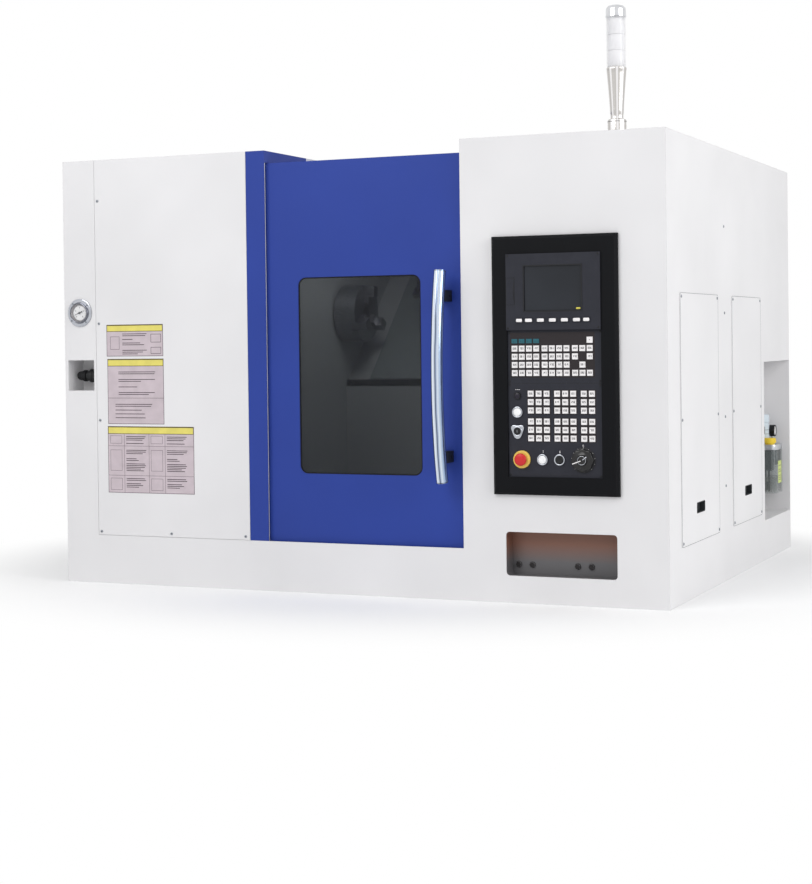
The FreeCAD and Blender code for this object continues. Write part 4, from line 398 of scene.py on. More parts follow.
def cover(part, rings, steps):
    """Faces between rings of points or single points."""
    for below, above in zip(rings, rings[1:]):
        for step in range(steps):
            after = (step + 1) % steps
            corners = []
            for ring, spot in ((below, step), (below, after), (above, after), (above, step)):
                vertex = ring[spot % len(ring)]
                if vertex not in corners:
                    corners.append(vertex)
            if len(corners) > 2:
                part.faces.new(corners)


def rounded_outline(left, right, low, high, radius, steps=6, inset=0.0):
    """Points of a rectangle with round corners, drawn in by the inset."""
    inset += radius
    left, right, low, high = left + inset, right - inset, low + inset, high - inset
    points = []
    for x, z, start in ((right, high, 0), (left, high, 90), (left, low, 180), (right, low, 270)):
        for step in range(steps + 1):
            across, up = on_circle(radius, radians(start + 90 * step / steps))
            points.append((x + across, z + up))
    return points


class Shape:
    """One mesh of bevelled blocks, turned forms, prisms and tubes."""

    def __init__(self):
        self.mesh = bmesh.new()
        self.materials = []

    def join(self, part, material, matrix=None):
        """Add a part's mesh, moved by a matrix, in one material."""
        if matrix:
            bmesh.ops.transform(part, matrix=matrix, verts=part.verts)
        if material not in self.materials:
            self.materials.append(material)
        number = self.materials.index(material)
        bmesh.ops.recalc_face_normals(part, faces=part.faces)
        closed = all(edge.is_manifold for edge in part.edges)
        if closed and part.calc_volume(signed=True) < 0:
            bmesh.ops.reverse_faces(part, faces=part.faces)
        for face in part.faces:
            face.material_index = number
        holder = bpy.data.meshes.new("part")
        part.to_mesh(holder)
        part.free()
        self.mesh.from_mesh(holder)
        bpy.data.meshes.remove(holder)

    def block(self, low, high, material, bevel=0.0, segments=2, matrix=None):
        """A box between two corners, its edges rounded."""
        low, high = Vector(low) * MM, Vector(high) * MM
        part = cube((low + high) / 2, high - low)
        soften(part, part.edges[:], bevel, segments)
        self.join(part, material, matrix)

    def block_at(self, place, low, high, material, bevel=0.0):
        """A box whose corners are counted from a place."""
        self.block(place + Vector(low), place + Vector(high), material, bevel)

    def turned(self, profile, place, material, steps=48, axis=FRONT):
        """A profile of (radius, height), turned about an axis."""
        part = bmesh.new()
        rings = []
        for radius, height in profile:
            ring = []
            for step in range(steps if radius > TINY else 1):
                spot = on_circle(radius * MM, 2 * pi * step / steps)
                ring.append(part.verts.new((*spot, height * MM)))
            rings.append(ring)
        cover(part, rings, steps)
        turn = UP.rotation_difference(axis).to_matrix().to_4x4()
        self.join(part, material, Matrix.Translation(place * MM) @ turn)

    def disc(self, radius, low, high, place, material, steps=48, axis=FRONT, hole=0):
        """A plain round slice between two heights."""
        profile = [(hole, low), (radius, low), (radius, high), (hole, high)]
        self.turned(profile, place, material, steps, axis)

    def ring(self, inner, outer, high, place, material, steps=48):
        """A ring with rounded edges that stands on a face."""
        soft = min(1.2, (outer - inner) / 3)
        profile = [
            (inner, 0), (outer, 0), (outer, high - soft), (outer - soft * 0.35, high - soft * 0.3),
            (outer - soft, high), (inner + soft, high), (inner + soft * 0.35, high - soft * 0.3),
            (inner, high - soft), (inner, 0),
        ]
        self.turned(profile, place, material, steps)

    def prism(self, outline, along, material, bevel=0.0):
        """An outline of points, moved along a vector."""
        part = bmesh.new()
        face = part.faces.new([part.verts.new(Vector(point) * MM) for point in outline])
        moved = bmesh.ops.extrude_face_region(part, geom=[face])
        verts = [item for item in moved["geom"] if isinstance(item, bmesh.types.BMVert)]
        bmesh.ops.translate(part, vec=along * MM, verts=verts)
        soften(part, part.edges[:], bevel)
        self.join(part, material)

    def tube(self, points, radii, material, steps=16):
        """A round tube along points, with a radius for each."""
        part = bmesh.new()
        points = [point * MM for point in points]
        rings = []
        side = None
        for number, (point, radius) in enumerate(zip(points, radii)):
            before = points[max(number - 1, 0)]
            after = points[min(number + 1, len(points) - 1)]
            along = (after - before).normalized()
            if side is None:
                side = along.orthogonal().normalized()
            side = (side - along * side.dot(along)).normalized()
            other = along.cross(side)
            ring = []
            for step in range(steps):
                out, round_it = on_circle(radius * MM, 2 * pi * step / steps)
                ring.append(part.verts.new(point + side * out + other * round_it))
            rings.append(ring)
        cover(part, rings, steps)
        part.faces.new(rings[0])
        part.faces.new(rings[-1])
        self.join(part, material)

    def done(self, name, *replaces, body="machine"):
        """Make the object, smooth but for sharp edges, on its body."""
        data = bpy.data.meshes.new(name)
        self.mesh.to_mesh(data)
        self.mesh.free()
        for material in self.materials:
            data.materials.append(material)
        data.shade_smooth()
        data.set_sharp_from_angle(angle=radians(35))
        piece = add_object(name, data)
        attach(piece, body)
        if replaces:
            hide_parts(*replaces)


# ---- panel keys
KEY_WHITE = moulded("key_white", (240, 237, 237))
KEY_TEAL = moulded("key_teal", (38, 96, 108))
KEY_INK = moulded("key_ink", (18, 17, 20), 0.6)
FIELD = moulded("key_field", (34, 28, 31), 0.5)
AMBER = moulded("amber_mark", (226, 214, 92))
SCREEN = paint("screen_glass", (38, 41, 47), 0.2, 0.0, 0.4, 0.25)
SCREEN_EDGE = moulded("screen_edge", (22, 23, 27), 0.5)

KEY_TOP = 2.5
CAP_HOLLOW = 0.3
UNIT_FACE = box("keyboard_unit")[0].y + KEY_TOP
STROKES = {
    "a": (-1, 2, 1, 2), "b": (1, 0, 1, 2), "c": (1, -2, 1, 0), "d": (-1, -2, 1, -2),
    "e": (-1, -2, -1, 0), "f": (-1, 0, -1, 2), "g": (-1, 0, 1, 0),
}
DIGITS = {
    "0": "abcdef", "1": "bc", "2": "abdeg", "3": "abcdg", "4": "bcfg", "5": "acdfg", "6": "acdefg",
    "7": "abc", "8": "abcdefg", "9": "abcdfg", "-": "g", "=": "dg",
}


def sign(shape, symbol, centre, tall, material):
    """A stroke sign, a hair above a front face."""
    unit = tall / 4
    wide = unit * 0.8
    half = wide / 2
    for stroke in DIGITS[symbol]:
        left, bottom, right, top = STROKES[stroke]
        low = left * wide - half, -0.05, bottom * unit - half
        shape.block_at(centre, low, (right * wide + half, 0, top * unit + half), material)


class Panel(Shape):
    """Details of a panel unit, counted from its upper left corner."""

    def __init__(self, node):
        super().__init__()
        self.low, self.high = box(node)
        self.face = self.low.y + KEY_TOP if node == "display_unit" else UNIT_FACE

    def point(self, across, down, out=0):
        return at(self.low.x + across, self.face - out, self.high.z - down)

    def cap(self, across, down, wide, tall, material, sunk=0.7):
        """A key cap within the CAD key's height; returns its hollow top."""
        centre = self.point(across, down, sunk)
        middle = (centre + FRONT * KEY_TOP / 2) * MM
        part = cube(middle, (wide * MM, KEY_TOP * MM, tall * MM))
        soften(part, [edge for edge in part.edges if all(v.co.y < middle.y for v in edge.verts)], 0.9)
        top = min(part.faces, key=lambda face: face.calc_center_median().y - face.calc_area())
        bmesh.ops.inset_individual(part, faces=[top], thickness=1.5 * MM, depth=-CAP_HOLLOW * MM)
        self.join(part, material)
        return centre + FRONT * (KEY_TOP - CAP_HOLLOW)

    def keys(self, columns, rows, gaps=()):
        """Key caps with digits, where columns and rows cross."""
        count = 0
        for row, down in enumerate(rows):
            for column, across in enumerate(columns):
                if (column, row) in gaps:
                    continue
                top = self.cap(across, down, 19.2, 19.2, KEY_WHITE)
                for place in range(3):
                    digit = str((count * 7 + place * 3 + row) % 10)
                    sign(self, digit, top + at((place - 1) * 4.3, 0, 0.6), 5.4, KEY_INK)
                count += 1

    def sheet(self, left, right, high, low, material, thick=0.3, radius=2):
        """A thin sheet with round corners."""
        first, second = self.point(left, low), self.point(right, high)
        outline = rounded_outline(first.x, second.x, first.z, second.z, radius)
        self.prism([(x, self.face, z) for x, z in outline], FRONT * thick, material)

    def frame(self, left, right, high, low, wide, thick):
        """Four strips round a rectangle."""
        for x0, x1, z0, z1 in (
            (left - wide, right + wide, high - wide, high), (left - wide, right + wide, low, low + wide),
            (left - wide, left, high, low), (right, right + wide, high, low),
        ):
            self.block(self.point(x0, z1, thick), self.point(x1, z0), SCREEN_EDGE)

    def screws(self):
        """Four small screws in the corners."""
        profile = [(0, -0.5), (3.4, -0.5), (3.4, 0.9), (2.7, 1.5), (1.4, 1.5), (1.2, 0.8), (0, 0.8)]
        for x in (self.low.x + 6, self.high.x - 6):
            for z in (self.low.z + 6, self.high.z - 6):
                self.turned(profile, at(x, self.face + 0.5, z), PLASTIC, 20)


def dress_keyboard():
    panel = Panel("keyboard_unit")
    columns = [24 + 24.4 * step + 3.6 * (step // 4) for step in range(11)]
    panel.keys(columns, (59, 85, 111, 137), {(9, 1), (8, 2), (10, 2)})
    panel.sheet(9, 291, 8, 152, FIELD)
    for column in columns[:4]:
        top = panel.cap(column, 35, 19.6, 14, KEY_TEAL)
        sign(panel, "0", top + at(-3, 0, -2), 3.4, FIELD)
        sign(panel, "=", top + at(3, 0, -2), 3.4, FIELD)
    sign(panel, "-", panel.cap(columns[10], 33, 19.6, 19.6, KEY_WHITE), 7, KEY_INK)
    panel.screws()
    for column in columns:
        panel.block_at(panel.point(column, 160), (-4, -0.2, -0.7), (4, 0, 0.7), KEYPLATE)
    panel.done("keyboard_details")


def dress_operator():
    panel = Panel("operator_unit")
    steps = [26.7 * step + 8.5 * (step // 3) for step in range(8)]
    columns = [77 + step for step in steps]
    rows = [34 + step for step in steps[:6]]
    panel.keys(columns, rows)
    margin = 12.5
    for first, last in ((0, 2), (3, 5), (6, 7)):
        for top, bottom in ((0, 2), (3, 5)):
            sides = columns[first] - margin, columns[last] + margin
            panel.sheet(*sides, rows[top] - margin, rows[bottom] + margin, FIELD)
    panel.screws()
    panel.sheet(0, 314, 0, 1.2, PLASTIC, 0.2, 0.2)
    panel.sheet(40, 274, 292, 292.8, KEYPLATE, 0.2, 0.2)
    panel.done("operator_details")


def dress_display():
    """Screen in its frame, soft keys, card slot and screws."""
    panel = Panel("display_unit")
    left, right, high, low = 62, 252, 40, 182
    panel.frame(left, right, high, low, 3.5, 1.1)
    for drop, way in ((high, -1), (low, 1)):
        points = [
            panel.point(across, drop + way * out)
            for across, out in ((left - 9, 9), (right + 9, 9), (right + 3.5, 3.5), (left - 3.5, 3.5))
        ]
        panel.prism(points, FRONT * 0.5, BEZEL)
    sunk = -3.9
    panel.block(panel.point(left, low, sunk + 0.4), panel.point(right, high, sunk), SCREEN)
    panel.block_at(panel.point(241, 176, sunk), (-7, -0.9, -3), (7, -0.3, 3), AMBER, 0.4)
    for across, wide in ((45, 20), (77, 23), (117, 23), (157, 23), (197, 23), (237, 23), (269, 20)):
        panel.cap(across, 212, wide + 5, 14.6, BEZEL, 0.6)
        x, y, z = panel.point(across, 212, 1.5)
        outline = rounded_outline(x - wide / 2, x + wide / 2, z - 5.2, z + 5.2, 3)
        panel.prism([(x, y, z) for x, z in outline], FRONT * 2, KEY_WHITE, 0.4)
    slot = 1.6, 28, 77, 161
    panel.frame(*slot, 1.6, 0.3)
    panel.sheet(*slot, BEZEL, 0.9, 1)
    panel.block_at(panel.point(26, 92), (-1, -1.6, -54), (1, 0, 0), KEYPLATE, 0.4)
    panel.screws()
    panel.done("display_details")


dress_keyboard()
dress_operator()
dress_display()


# ---- round controls
RING_YELLOW = moulded("yellow_ring", (238, 200, 96))
CAP_WHITE = moulded("cap_white", (252, 252, 252), 0.35)
WHEEL_BLACK = paint("wheel_black", (6, 6, 8), 0.2, 0.0, 0.3)
INDICATOR = moulded("indicator_lens", (30, 26, 40), 0.2)
STEM_RADIUS = 7.9


def rise_of(node):
    """How far a control stands out from the plate."""
    return UNIT_FACE - box(node)[0].y


def add_stem(shape, node, high, material=PLASTIC):
    """A control's stem, from its CAD rear up to a height."""
    shape.disc(STEM_RADIUS, UNIT_FACE - box(node)[1].y, high, middle_of(node, UNIT_FACE), material)


def lobed_outline(place, out, steps, radius_at):
    """Points round a place, their radius set by the angle."""
    points = []
    for step in range(steps):
        angle = 2 * pi * step / steps
        across, up = on_circle(radius_at(angle), angle)
        points.append((place.x + across, place.y - out, place.z + up))
    return points


def push_button(node, cap_material, domed):
    """A cap with its stem, inside a fixed ring."""
    place = middle_of(node, UNIT_FACE)
    rise = rise_of(node)
    low = 3.6
    radius = 12.9
    top = rise if domed else rise - 0.8
    cap = Shape()
    cap.turned(
        [(0, low), (radius, low), (radius, rise - 2.2), (radius * 0.97, rise - 1.2),
         (radius * 0.88, rise - 0.4), (radius * 0.75, rise), (radius * 0.5, top), (0, top)],
        place, cap_material,
    )
    add_stem(cap, node, low)
    cap.done(node + "_cap", node, body=node)
    ring = Shape()
    ring.ring(13.6, 17.8, 6.2, place, CHROME)
    ring.done(node + "_ring")


def small_mark(shape, place, across, up, symbol):
    """A generic sign on the plate beside a control."""
    sign(shape, symbol, place + at(across, 0, up), 7, KEY_WHITE)


def make_key_switch():
    """Chrome escutcheon with the turning lock barrel."""
    node = "key_switch"
    place = middle_of(node, UNIT_FACE)
    ears = ((38, 8, 8), (142, 8, 8), (270, 4, 7))

    def radius_at(angle):
        return 17.6 + sum(
            size * max(0, cos(angle - radians(way))) ** power for way, power, size in ears
        )

    plate = Shape()
    plate.prism(lobed_outline(place, 0, 60, radius_at), FRONT * 5.4, CHROME, 1.2)
    plate.ring(12, 15.5, 7.4, place, CHROME)
    plate.disc(12, 5.4, 5.7, place, KEYPLATE)
    plate.done("key_switch_plate")
    barrel = Shape()
    rise = rise_of(node)
    barrel.turned(
        [(0, 5.8), (10, 5.8), (10, rise - 1), (9.2, rise - 0.3), (6, rise - 0.3), (0, rise - 0.3)],
        place, PLASTIC,
    )
    barrel.block_at(place, (-2, -rise, -8.6), (2, 1.6 - rise, 8.6), PLASTIC, 0.5)
    barrel.block_at(place, (-0.7, -rise - 0.02, -4), (0.7, 1 - rise, 4), CHROME, 0.2)
    add_stem(barrel, node, 5.8, CHROME)
    barrel.done("key_switch_barrel", node, body=node)


def make_emergency_stop():
    """Mushroom head over a yellow ring."""
    node = "emergency_stop"
    place = middle_of(node, UNIT_FACE)
    rise = rise_of(node)
    profile = [(0, 8.5), (12.5, 8.5), (11.5, 11), (12.5, 13), (18, 13.8), (20, 15.4), (20, 18)]
    for step in range(1, 8):
        across, up = on_circle(1, radians(90 * step / 7))
        profile.append((20 * across, 18 + (rise - 18) * up))
    head = Shape()
    head.turned(profile, place, RED, 64)
    add_stem(head, node, 8.5)
    head.done("emergency_stop_head", node, body=node)
    ring = Shape()
    ring.ring(14.5, 28.6, 5.6, place, RING_YELLOW, 64)
    ring.ring(13.4, 15, 5.9, place, PLASTIC)
    ring.done("emergency_stop_ring")


def make_override_wheel():
    """Lobed hand wheel with a pointer, over a dial of ticks."""
    node = "override_wheel"
    place = middle_of(node, UNIT_FACE)
    rise = rise_of(node)
    wheel = Shape()
    rim = lobed_outline(place, 1.2, 120, lambda angle: 35.2 + 1.7 * cos(8 * angle))
    wheel.prism(rim, FRONT * 9.5, WHEEL_BLACK, 2)
    wheel.turned(
        [(0, 9), (26, 9), (24.5, 11.6), (20, 12.4), (17.5, 14), (16.6, rise - 1.2), (15.4, rise), (0, rise)],
        place, WHEEL_BLACK, 64,
    )
    wheel.ring(12.4, 14.4, 2, place + FRONT * (rise - 1.9), CHROME, 64)
    for turn, reach, material in ((200, 33, KEY_WHITE), (35, 20, CHROME)):
        slope = swivel(place, -turn, "Y")
        wheel.block((3, -rise - 0.1, -1.6), (reach, 8.4 - rise, 1.6), material, 0.6, 2, slope)
    add_stem(wheel, node, 9)
    wheel.done("override_wheel_body", node, body=node)
    dial = Shape()
    dial.ring(8.6, 41, 0.9, place, KEYPLATE, 64)
    for step in range(11):
        turn = swivel(place, 27 * step - 225, "Y")
        dial.block((37.4, -1, -0.35), (40, 0, 0.35), KEY_WHITE, matrix=turn)
    small_mark(dial, place, 0, 45, "0")
    dial.done("override_dial")


def make_indicator():
    """Dark lens in a low ring, and the signs beside the buttons."""
    low, high = box("operator_unit")
    place = at(low.x + 32, UNIT_FACE, high.z - 41)
    lens = Shape()
    lens.ring(8.6, 11.4, 5.6, place, PLASTIC)
    lens.turned([(0, 0), (8.7, 0), (8.7, 5), (6, 6.1), (0, 6.6)], place, INDICATOR, 40)
    for across in (-6, 0, 6):
        small_mark(lens, place, across, 20, "-")
    small_mark(lens, middle_of("start_button", UNIT_FACE), 0, 25, "1")
    small_mark(lens, middle_of("stop_button", UNIT_FACE), 0, 25, "0")
    lens.done("indicator")


push_button("mode_button", CAP_WHITE, True)
push_button("start_button", CAP_WHITE, True)
push_button("stop_button", PLASTIC, False)
make_key_switch()
make_emergency_stop()
make_override_wheel()
make_indicator()


# ---- gauge and regulator
DIAL = moulded("dial_white", (246, 244, 244), 0.35)
GAUGE_CONE = metal("gauge_cone", (132, 126, 128), 0.3)
COVER_GLASS = clear_plastic("gauge_glass", (225, 232, 235), 0.08, 0.03)
SKIN_FRONT = box("front_skin")[0].y


def screw_head(shape, place, radius, high, axis=FRONT, material=SCREW):
    """A pan head with painted shade in its socket."""
    profile = ((0, 0), (1, 0), (1, 0.45), (0.8, 0.85), (0.5, 1), (0.46, 1), (0.44, 0.35), (0, 0.35))
    # The socket's dark cone is painted shade in the recess.
    socket = ((0, 0.3), (0.43, 0.3), (0, 0.5))
    for shares, finish, steps in ((profile, material, 24), (socket, PLASTIC, 6)):
        scaled = [(radius * across, high * along) for across, along in shares]
        shape.turned(scaled, place, finish, steps, axis)


def make_gauge():
    """Flanged case with its rim, dial, cone ring and glass."""
    place = middle_of("gauge_body", SKIN_FRONT)
    body = Shape()
    body.turned([(37, 0), (50, 0), (50, 2.2), (48.6, 3.6), (46.5, 4), (37, 4)], place, CHROME, 72)
    body.turned([(50.05, 0), (50.05, 1.4), (49.6, 2.4), (49.4, 1.4), (49.4, 0)], place, DARK, 72)
    body.turned(
        [(38.8, 3.6), (38.6, 4.4), (37.4, 5), (37, 8.5), (36, 11), (34.6, 11.8), (33.2, 11.4), (32.6, 9),
         (32.6, 2.4)],
        place, CHROME_PAINTED_SHADE, 72,
    )
    body.disc(33, 2.2, 2.9, place, DIAL, 72, hole=1.6)
    back = box("gauge_body")[1].y - SKIN_FRONT
    body.turned(
        [(1.6, -back), (33, -back), (35.5, 3 - back), (35.5, 0), (36.6, 0.4), (36.6, 1), (1.6, 2.3)],
        place, PLASTIC, 48,
    )
    for number in range(4):
        across, up = on_circle(43, radians(40 + 90 * number))
        screw_head(body, place + at(across, -4, up), 3.6, 2)
    for number in range(21):
        angle = 225 - 13.5 * number
        long_tick = number % 5 == 0
        turn = swivel(place, -angle, "Y")
        body.block((22 if long_tick else 23.4, -3.1, -0.3), (25.4, -2.8, 0.3), PLASTIC, matrix=turn)
        if long_tick:
            across, up = on_circle(18, radians(angle))
            sign(body, str(number // 5 * 2), place + at(across, -3, up), 4.4, PLASTIC)
    body.turned([(26.4, 3), (32.6, 2.6), (33, 9), (32, 9.6), (27, 4.4)], place, GAUGE_CONE, 72)
    body.disc(32.7, 10.2, 10.6, place, COVER_GLASS)
    body.done("gauge_case", "gauge_body")


def make_needle():
    """Needle with a counterweight, along the CAD needle."""
    place = middle_of("gauge_body", SKIN_FRONT)
    spots = [vertex.co / MM - place for vertex in NODES["gauge_needle"].data.vertices]
    tip = max(spots, key=lambda spot: hypot(spot.x, spot.z))
    turn = Matrix.Translation(place) @ Matrix.Rotation(-atan2(tip.z, tip.x), 4, "Y")
    outline = ((-13, 2.6), (-13, -2.6), (-6, -1.4), (24, -0.4), (24, 0.4), (-6, 1.4))
    needle = Shape()
    needle.prism([turn @ at(x, -5.4, z) for x, z in outline], FRONT * 0.8, PLASTIC)
    needle.turned([(0, 5.3), (4, 5.3), (4, 6.6), (3, 7.2), (0, 7.4)], place, PLASTIC, 32)
    needle.disc(1.4, 0, 5.4, place, PLASTIC, 20)
    needle.done("gauge_pointer", "gauge_needle", body="gauge_needle")


def make_regulator():
    """Regulator body, and its tapered knob with grips."""
    low, high = box("regulator_body")
    middle = middle_of("regulator_body")
    long = high.x - low.x
    body = Shape()
    body.turned(
        [(8.6, 0), (24, 0), (24, long * 0.45), (22.4, long * 0.48), (22.4, long * 0.52), (24, long * 0.55),
         (24, long - 15), (19, long - 14), (18, long - 2), (16, long), (8.6, long)],
        at(high.x, middle.y, middle.z), PLASTIC, axis=-RIGHT,
    )
    body.done("regulator_case", "regulator_body")
    low, high = box("regulator_knob")
    middle = middle_of("regulator_knob")
    nose = at(low.x, middle.y, middle.z)
    profile = [
        (0, 0), (8, 0.4), (12, 2), (14.4, 5), (15.6, 9), (17, 22), (17.6, 24), (18.6, 25), (19.6, 38),
        (18.6, 39), (0, 39),
    ]
    knob = Shape()
    knob.turned(profile, nose, PLASTIC, 64, RIGHT)
    for number in range(20):
        turn = swivel(nose, 18 * number, "X")
        knob.block((25.5, -0.8, 18.4), (37.5, 0.8, 20.4), PLASTIC, 0.3, 1, turn)
    knob.turned([(0, -0.2), (5, -0.2), (6, 0.6), (0, 0.6)], nose, SCREW, 32, RIGHT)
    knob.disc(STEM_RADIUS, 0, high.x - low.x - 38, nose + RIGHT * 38, STEEL, 32, RIGHT)
    knob.done("regulator_handle", "regulator_knob", body="regulator_knob")


make_gauge()
make_needle()
make_regulator()


# ---- stack light
CORE = moulded("light_core", (250, 249, 250))
# Stack light stand chrome with painted reflection streaks.
STAND_CHROME_PAINTED_REFLECTIONS = chrome_painted_reflection_post("stand_chrome", "stack_light_base")


def make_stack_light():
    """Chrome stand, and a clear tube with three cores and a cap."""
    foot = middle_of("stack_light_base")
    foot.z = box("stack_light_base")[0].z
    profile = [
        (0, 0), (31.5, 0), (31.5, 4), (30.4, 5.5), (30.4, 40), (29.4, 43), (26, 45), (22.4, 45.6), (21, 48),
        (20.6, 56), (21.4, 62),
    ]
    for step in range(13):
        share = step / 12
        profile.append((22 + 10.2 * share ** 1.25, 64 + 138 * share))
    profile += [(32.6, 203), (32.6, 207), (31.4, 209), (0, 209)]
    base = Shape()
    base.turned(profile, foot, STAND_CHROME_PAINTED_REFLECTIONS, 64, UP)
    for up in (8, 37):
        base.turned([(30.5, up - 0.8), (30.9, up), (30.5, up + 0.8)], foot, DARK, 64, UP)
    base.done("stack_light_stand", "stack_light_base")
    low, high = box("stack_light_tube")
    top = at(foot.x, foot.y, low.z)
    tall = high.z - low.z
    cap = tall - 38
    tube = Shape()
    tube.turned([(31.2, 0), (31.2, cap), (29, cap), (29, 0), (31.2, 0)], top, TUBE, 64, UP)
    tube.turned(
        [(0, cap - 1), (33, cap - 1), (33, cap + 4), (32.2, cap + 5.5), (32.2, cap + 20), (30.4, cap + 28),
         (25, cap + 34), (14, cap + 37.2), (0, tall)],
        top, CHROME_PAINTED_HIGHLIGHT, 64, UP,
    )
    third = (cap - 10) / 3
    for number in range(3):
        low = 4 + number * third
        high = low + third - 1.2
        tube.turned(
            [(0, low), (25, low), (25.6, low + 1), (25.6, high - 1), (25, high), (0, high)], top, CORE,
            axis=UP,
        )
    tube.disc(24, 0, 4, top, WHITE_PLASTIC, axis=UP)
    tube.done("stack_light_lens", "stack_light_tube")


make_stack_light()


# ---- label plates
def film(name, colour, roughness=0.5):
    return moulded(name, colour, roughness, 1500, 0.0001)


LABEL = film("label_film", (200, 187, 193), 0.4)
LABEL_HEAD = film("label_head", (226, 214, 112), 0.4)
LABEL_INK = film("label_ink", (64, 54, 60))
HEAD_EDGE = film("label_head_edge", (84, 74, 38))
LABEL_LINE = film("label_line", (112, 100, 106))
MACHINE_LEFT = box("front_skin")[0].x
COVER_FRONT = box("left_cover")[0].y


def on_cover(shape, left, right, low, high, material=LABEL_LINE, out=0.42):
    """A strip on the left cover, from the machine's lower left corner."""
    shape.block(
        (MACHINE_LEFT + left, COVER_FRONT - out, low), (MACHINE_LEFT + right, COVER_FRONT, high), material,
    )


def pane(shape, left, right, low, high, edge, outs=(0.42, 0.5)):
    """A film with a dark edge."""
    on_cover(shape, left, right, low, high, LABEL_LINE, outs[0])
    on_cover(shape, left + edge, right - edge, low + edge, high - edge, LABEL, outs[1])


def label(shape, left, right, low, high, head):
    """A film plate with a plain coloured head."""
    pane(shape, left, right, low, high, 2, (0.25, 0.35))
    on_cover(shape, left + 1, right - 1, high - head - 2, high - 0.5, HEAD_EDGE)
    on_cover(shape, left + 3, right - 3, high - head, high - 4, LABEL_HEAD, 0.5)


def ruled(shape, left, right, top, lengths, pitch):
    """Bars in place of a plate's lines, as shares of its width."""
    for number, share in enumerate(lengths):
        z = top - number * pitch
        if share:
            on_cover(shape, left, left + (right - left) * share, z - 2.4, z, LABEL_INK)


def make_labels():
    """Three plates with heads and ruled lines, and nothing to read."""
    plates = Shape()
    label(plates, 175, 406, 804, 916, 23)
    ruled(plates, 240, 345, 884, (0.95, 0.9, 0, 0.4, 0, 0.7, 0.85, 0, 0, 0.95, 0.8, 0.6), 6.4)
    pane(plates, 356, 398, 852, 882, 2)
    pane(plates, 356, 398, 812, 836, 2)
    pane(plates, 190, 228, 828, 874, 1.5)
    label(plates, 177, 407, 565, 795, 24)
    on_cover(plates, 179, 405, 656, 657.5)
    ruled(plates, 222, 376, 750, (0.98, 0.96, 0, 0, 0.97, 0.6, 0, 0, 0.5, 0, 0, 0.96, 0.8), 6.6)
    ruled(plates, 208, 362, 636, (0.98, 0.95, 0, 0.7, 0, 0.78, 0, 0.8), 6.8)
    label(plates, 175, 525, 322, 557, 25)
    for across in (242, 343, 408):
        on_cover(plates, across, across + 1.3, 324, 531)
    for up in (383, 487):
        on_cover(plates, 177, 523, up, up + 1.3)
    for left in (250, 416):
        for top, lengths in (
            (522, (0.95, 0.9, 0.8, 0, 0.85)),
            (474, (0.98, 0.95, 0.8, 0, 0, 0.5, 0.6, 0, 0.9, 0.95, 0.9, 0.7, 0.85)),
            (374, (0.9, 0.95, 0, 0.7, 0.8, 0.6)),
        ):
            ruled(plates, left, left + 84, top, lengths, 6)
    for low, high in ((496, 524), (400, 474), (332, 374)):
        for left in (185, 351):
            pane(plates, left, left + 48, low, high, 1.3)
    plates.done("label_plates")


make_labels()


# ---- door handle and screws
HANDLE_REACH = 36


def make_handle():
    """Bowed handle tube with stepped end caps."""
    low, high = box("door_handle")
    radius = (high.x - low.x) / 2
    middle = (low + high) / 2
    half = (high.z - low.z) / 2
    bow = (half ** 2 + HANDLE_REACH ** 2) / (2 * HANDLE_REACH)
    centre = at(middle.x, low.y + radius + bow, middle.z)
    reach = asin((half - 1.5) / (bow + radius))
    steps = 72
    points = []
    for step in range(steps + 1):
        inwards, up = on_circle(bow, reach * (2 * step / steps - 1))
        points.append(centre + at(0, -inwards, up))
    bar = Shape()
    bar.tube(points, [radius - 0.1] * len(points), HANDLE_CHROME_PAINTED_REFLECTIONS, 48)
    profile = [(0, -3), (radius, -3), (radius, -1.2), (radius - 1.4, 0.2), (radius - 5, 0.8), (0, 1)]
    for end, inner in ((points[0], points[1]), (points[-1], points[-2])):
        bar.turned(profile, end, PLASTIC, 40, (end - inner).normalized())
    bar.done("door_handle_bar", "door_handle", body="door")


def pieces_of(node):
    """The boxes of a node's separate solids, in a fixed order."""
    mesh = bmesh.new()
    mesh.from_mesh(NODES[node].data)
    bmesh.ops.remove_doubles(mesh, verts=mesh.verts, dist=0.00001)
    left = set(mesh.verts)
    boxes = []
    while left:
        found = [left.pop()]
        for vertex in found:
            for edge in vertex.link_edges:
                other = edge.other_vert(vertex)
                if other in left:
                    left.remove(other)
                    found.append(other)
        spans = [[vertex.co[axis] for vertex in found] for axis in range(3)]
        boxes.append((Vector(map(min, spans)) / MM, Vector(map(max, spans)) / MM))
    mesh.free()
    return sorted(boxes, key=lambda ends: tuple(ends[0]))


def make_cover_screws():
    """Pan heads with sockets, over the CAD model's heads."""
    heads = Shape()
    for low, high in pieces_of("cover_screws"):
        span = high - low
        middle = (low + high) / 2
        if span.x < span.y:
            screw_head(heads, at(low.x, middle.y, middle.z), span.y / 2, span.x, RIGHT)
        else:
            screw_head(heads, at(middle.x, high.y, middle.z), span.x / 2, span.y)
    heads.done("cover_screw_heads", "cover_screws")


def make_block_bolts():
    """A bolt head on each handle block's outer side."""
    bolts = Shape()
    for low, high in pieces_of("handle_blocks"):
        place = at(high.x - 0.2, high.y - 18, (low.z + high.z) / 2)
        screw_head(bolts, place, 4.5, 1.5, RIGHT, PLASTIC)
    bolts.done("handle_block_bolts", body="door")


make_handle()
make_cover_screws()
make_block_bolts()


# ---- housings
SEAM = moulded("seam_shadow", (120, 122, 126), 0.7)
# Painted shade for the finger pull recesses.
PULL_PAINTED_SHADE = moulded("pull_black", (46, 49, 51), 0.5)
BOLT = moulded("dark_bolt", (34, 31, 32))
SIDE_COVERS = ("right_front_cover", "right_rear_cover")


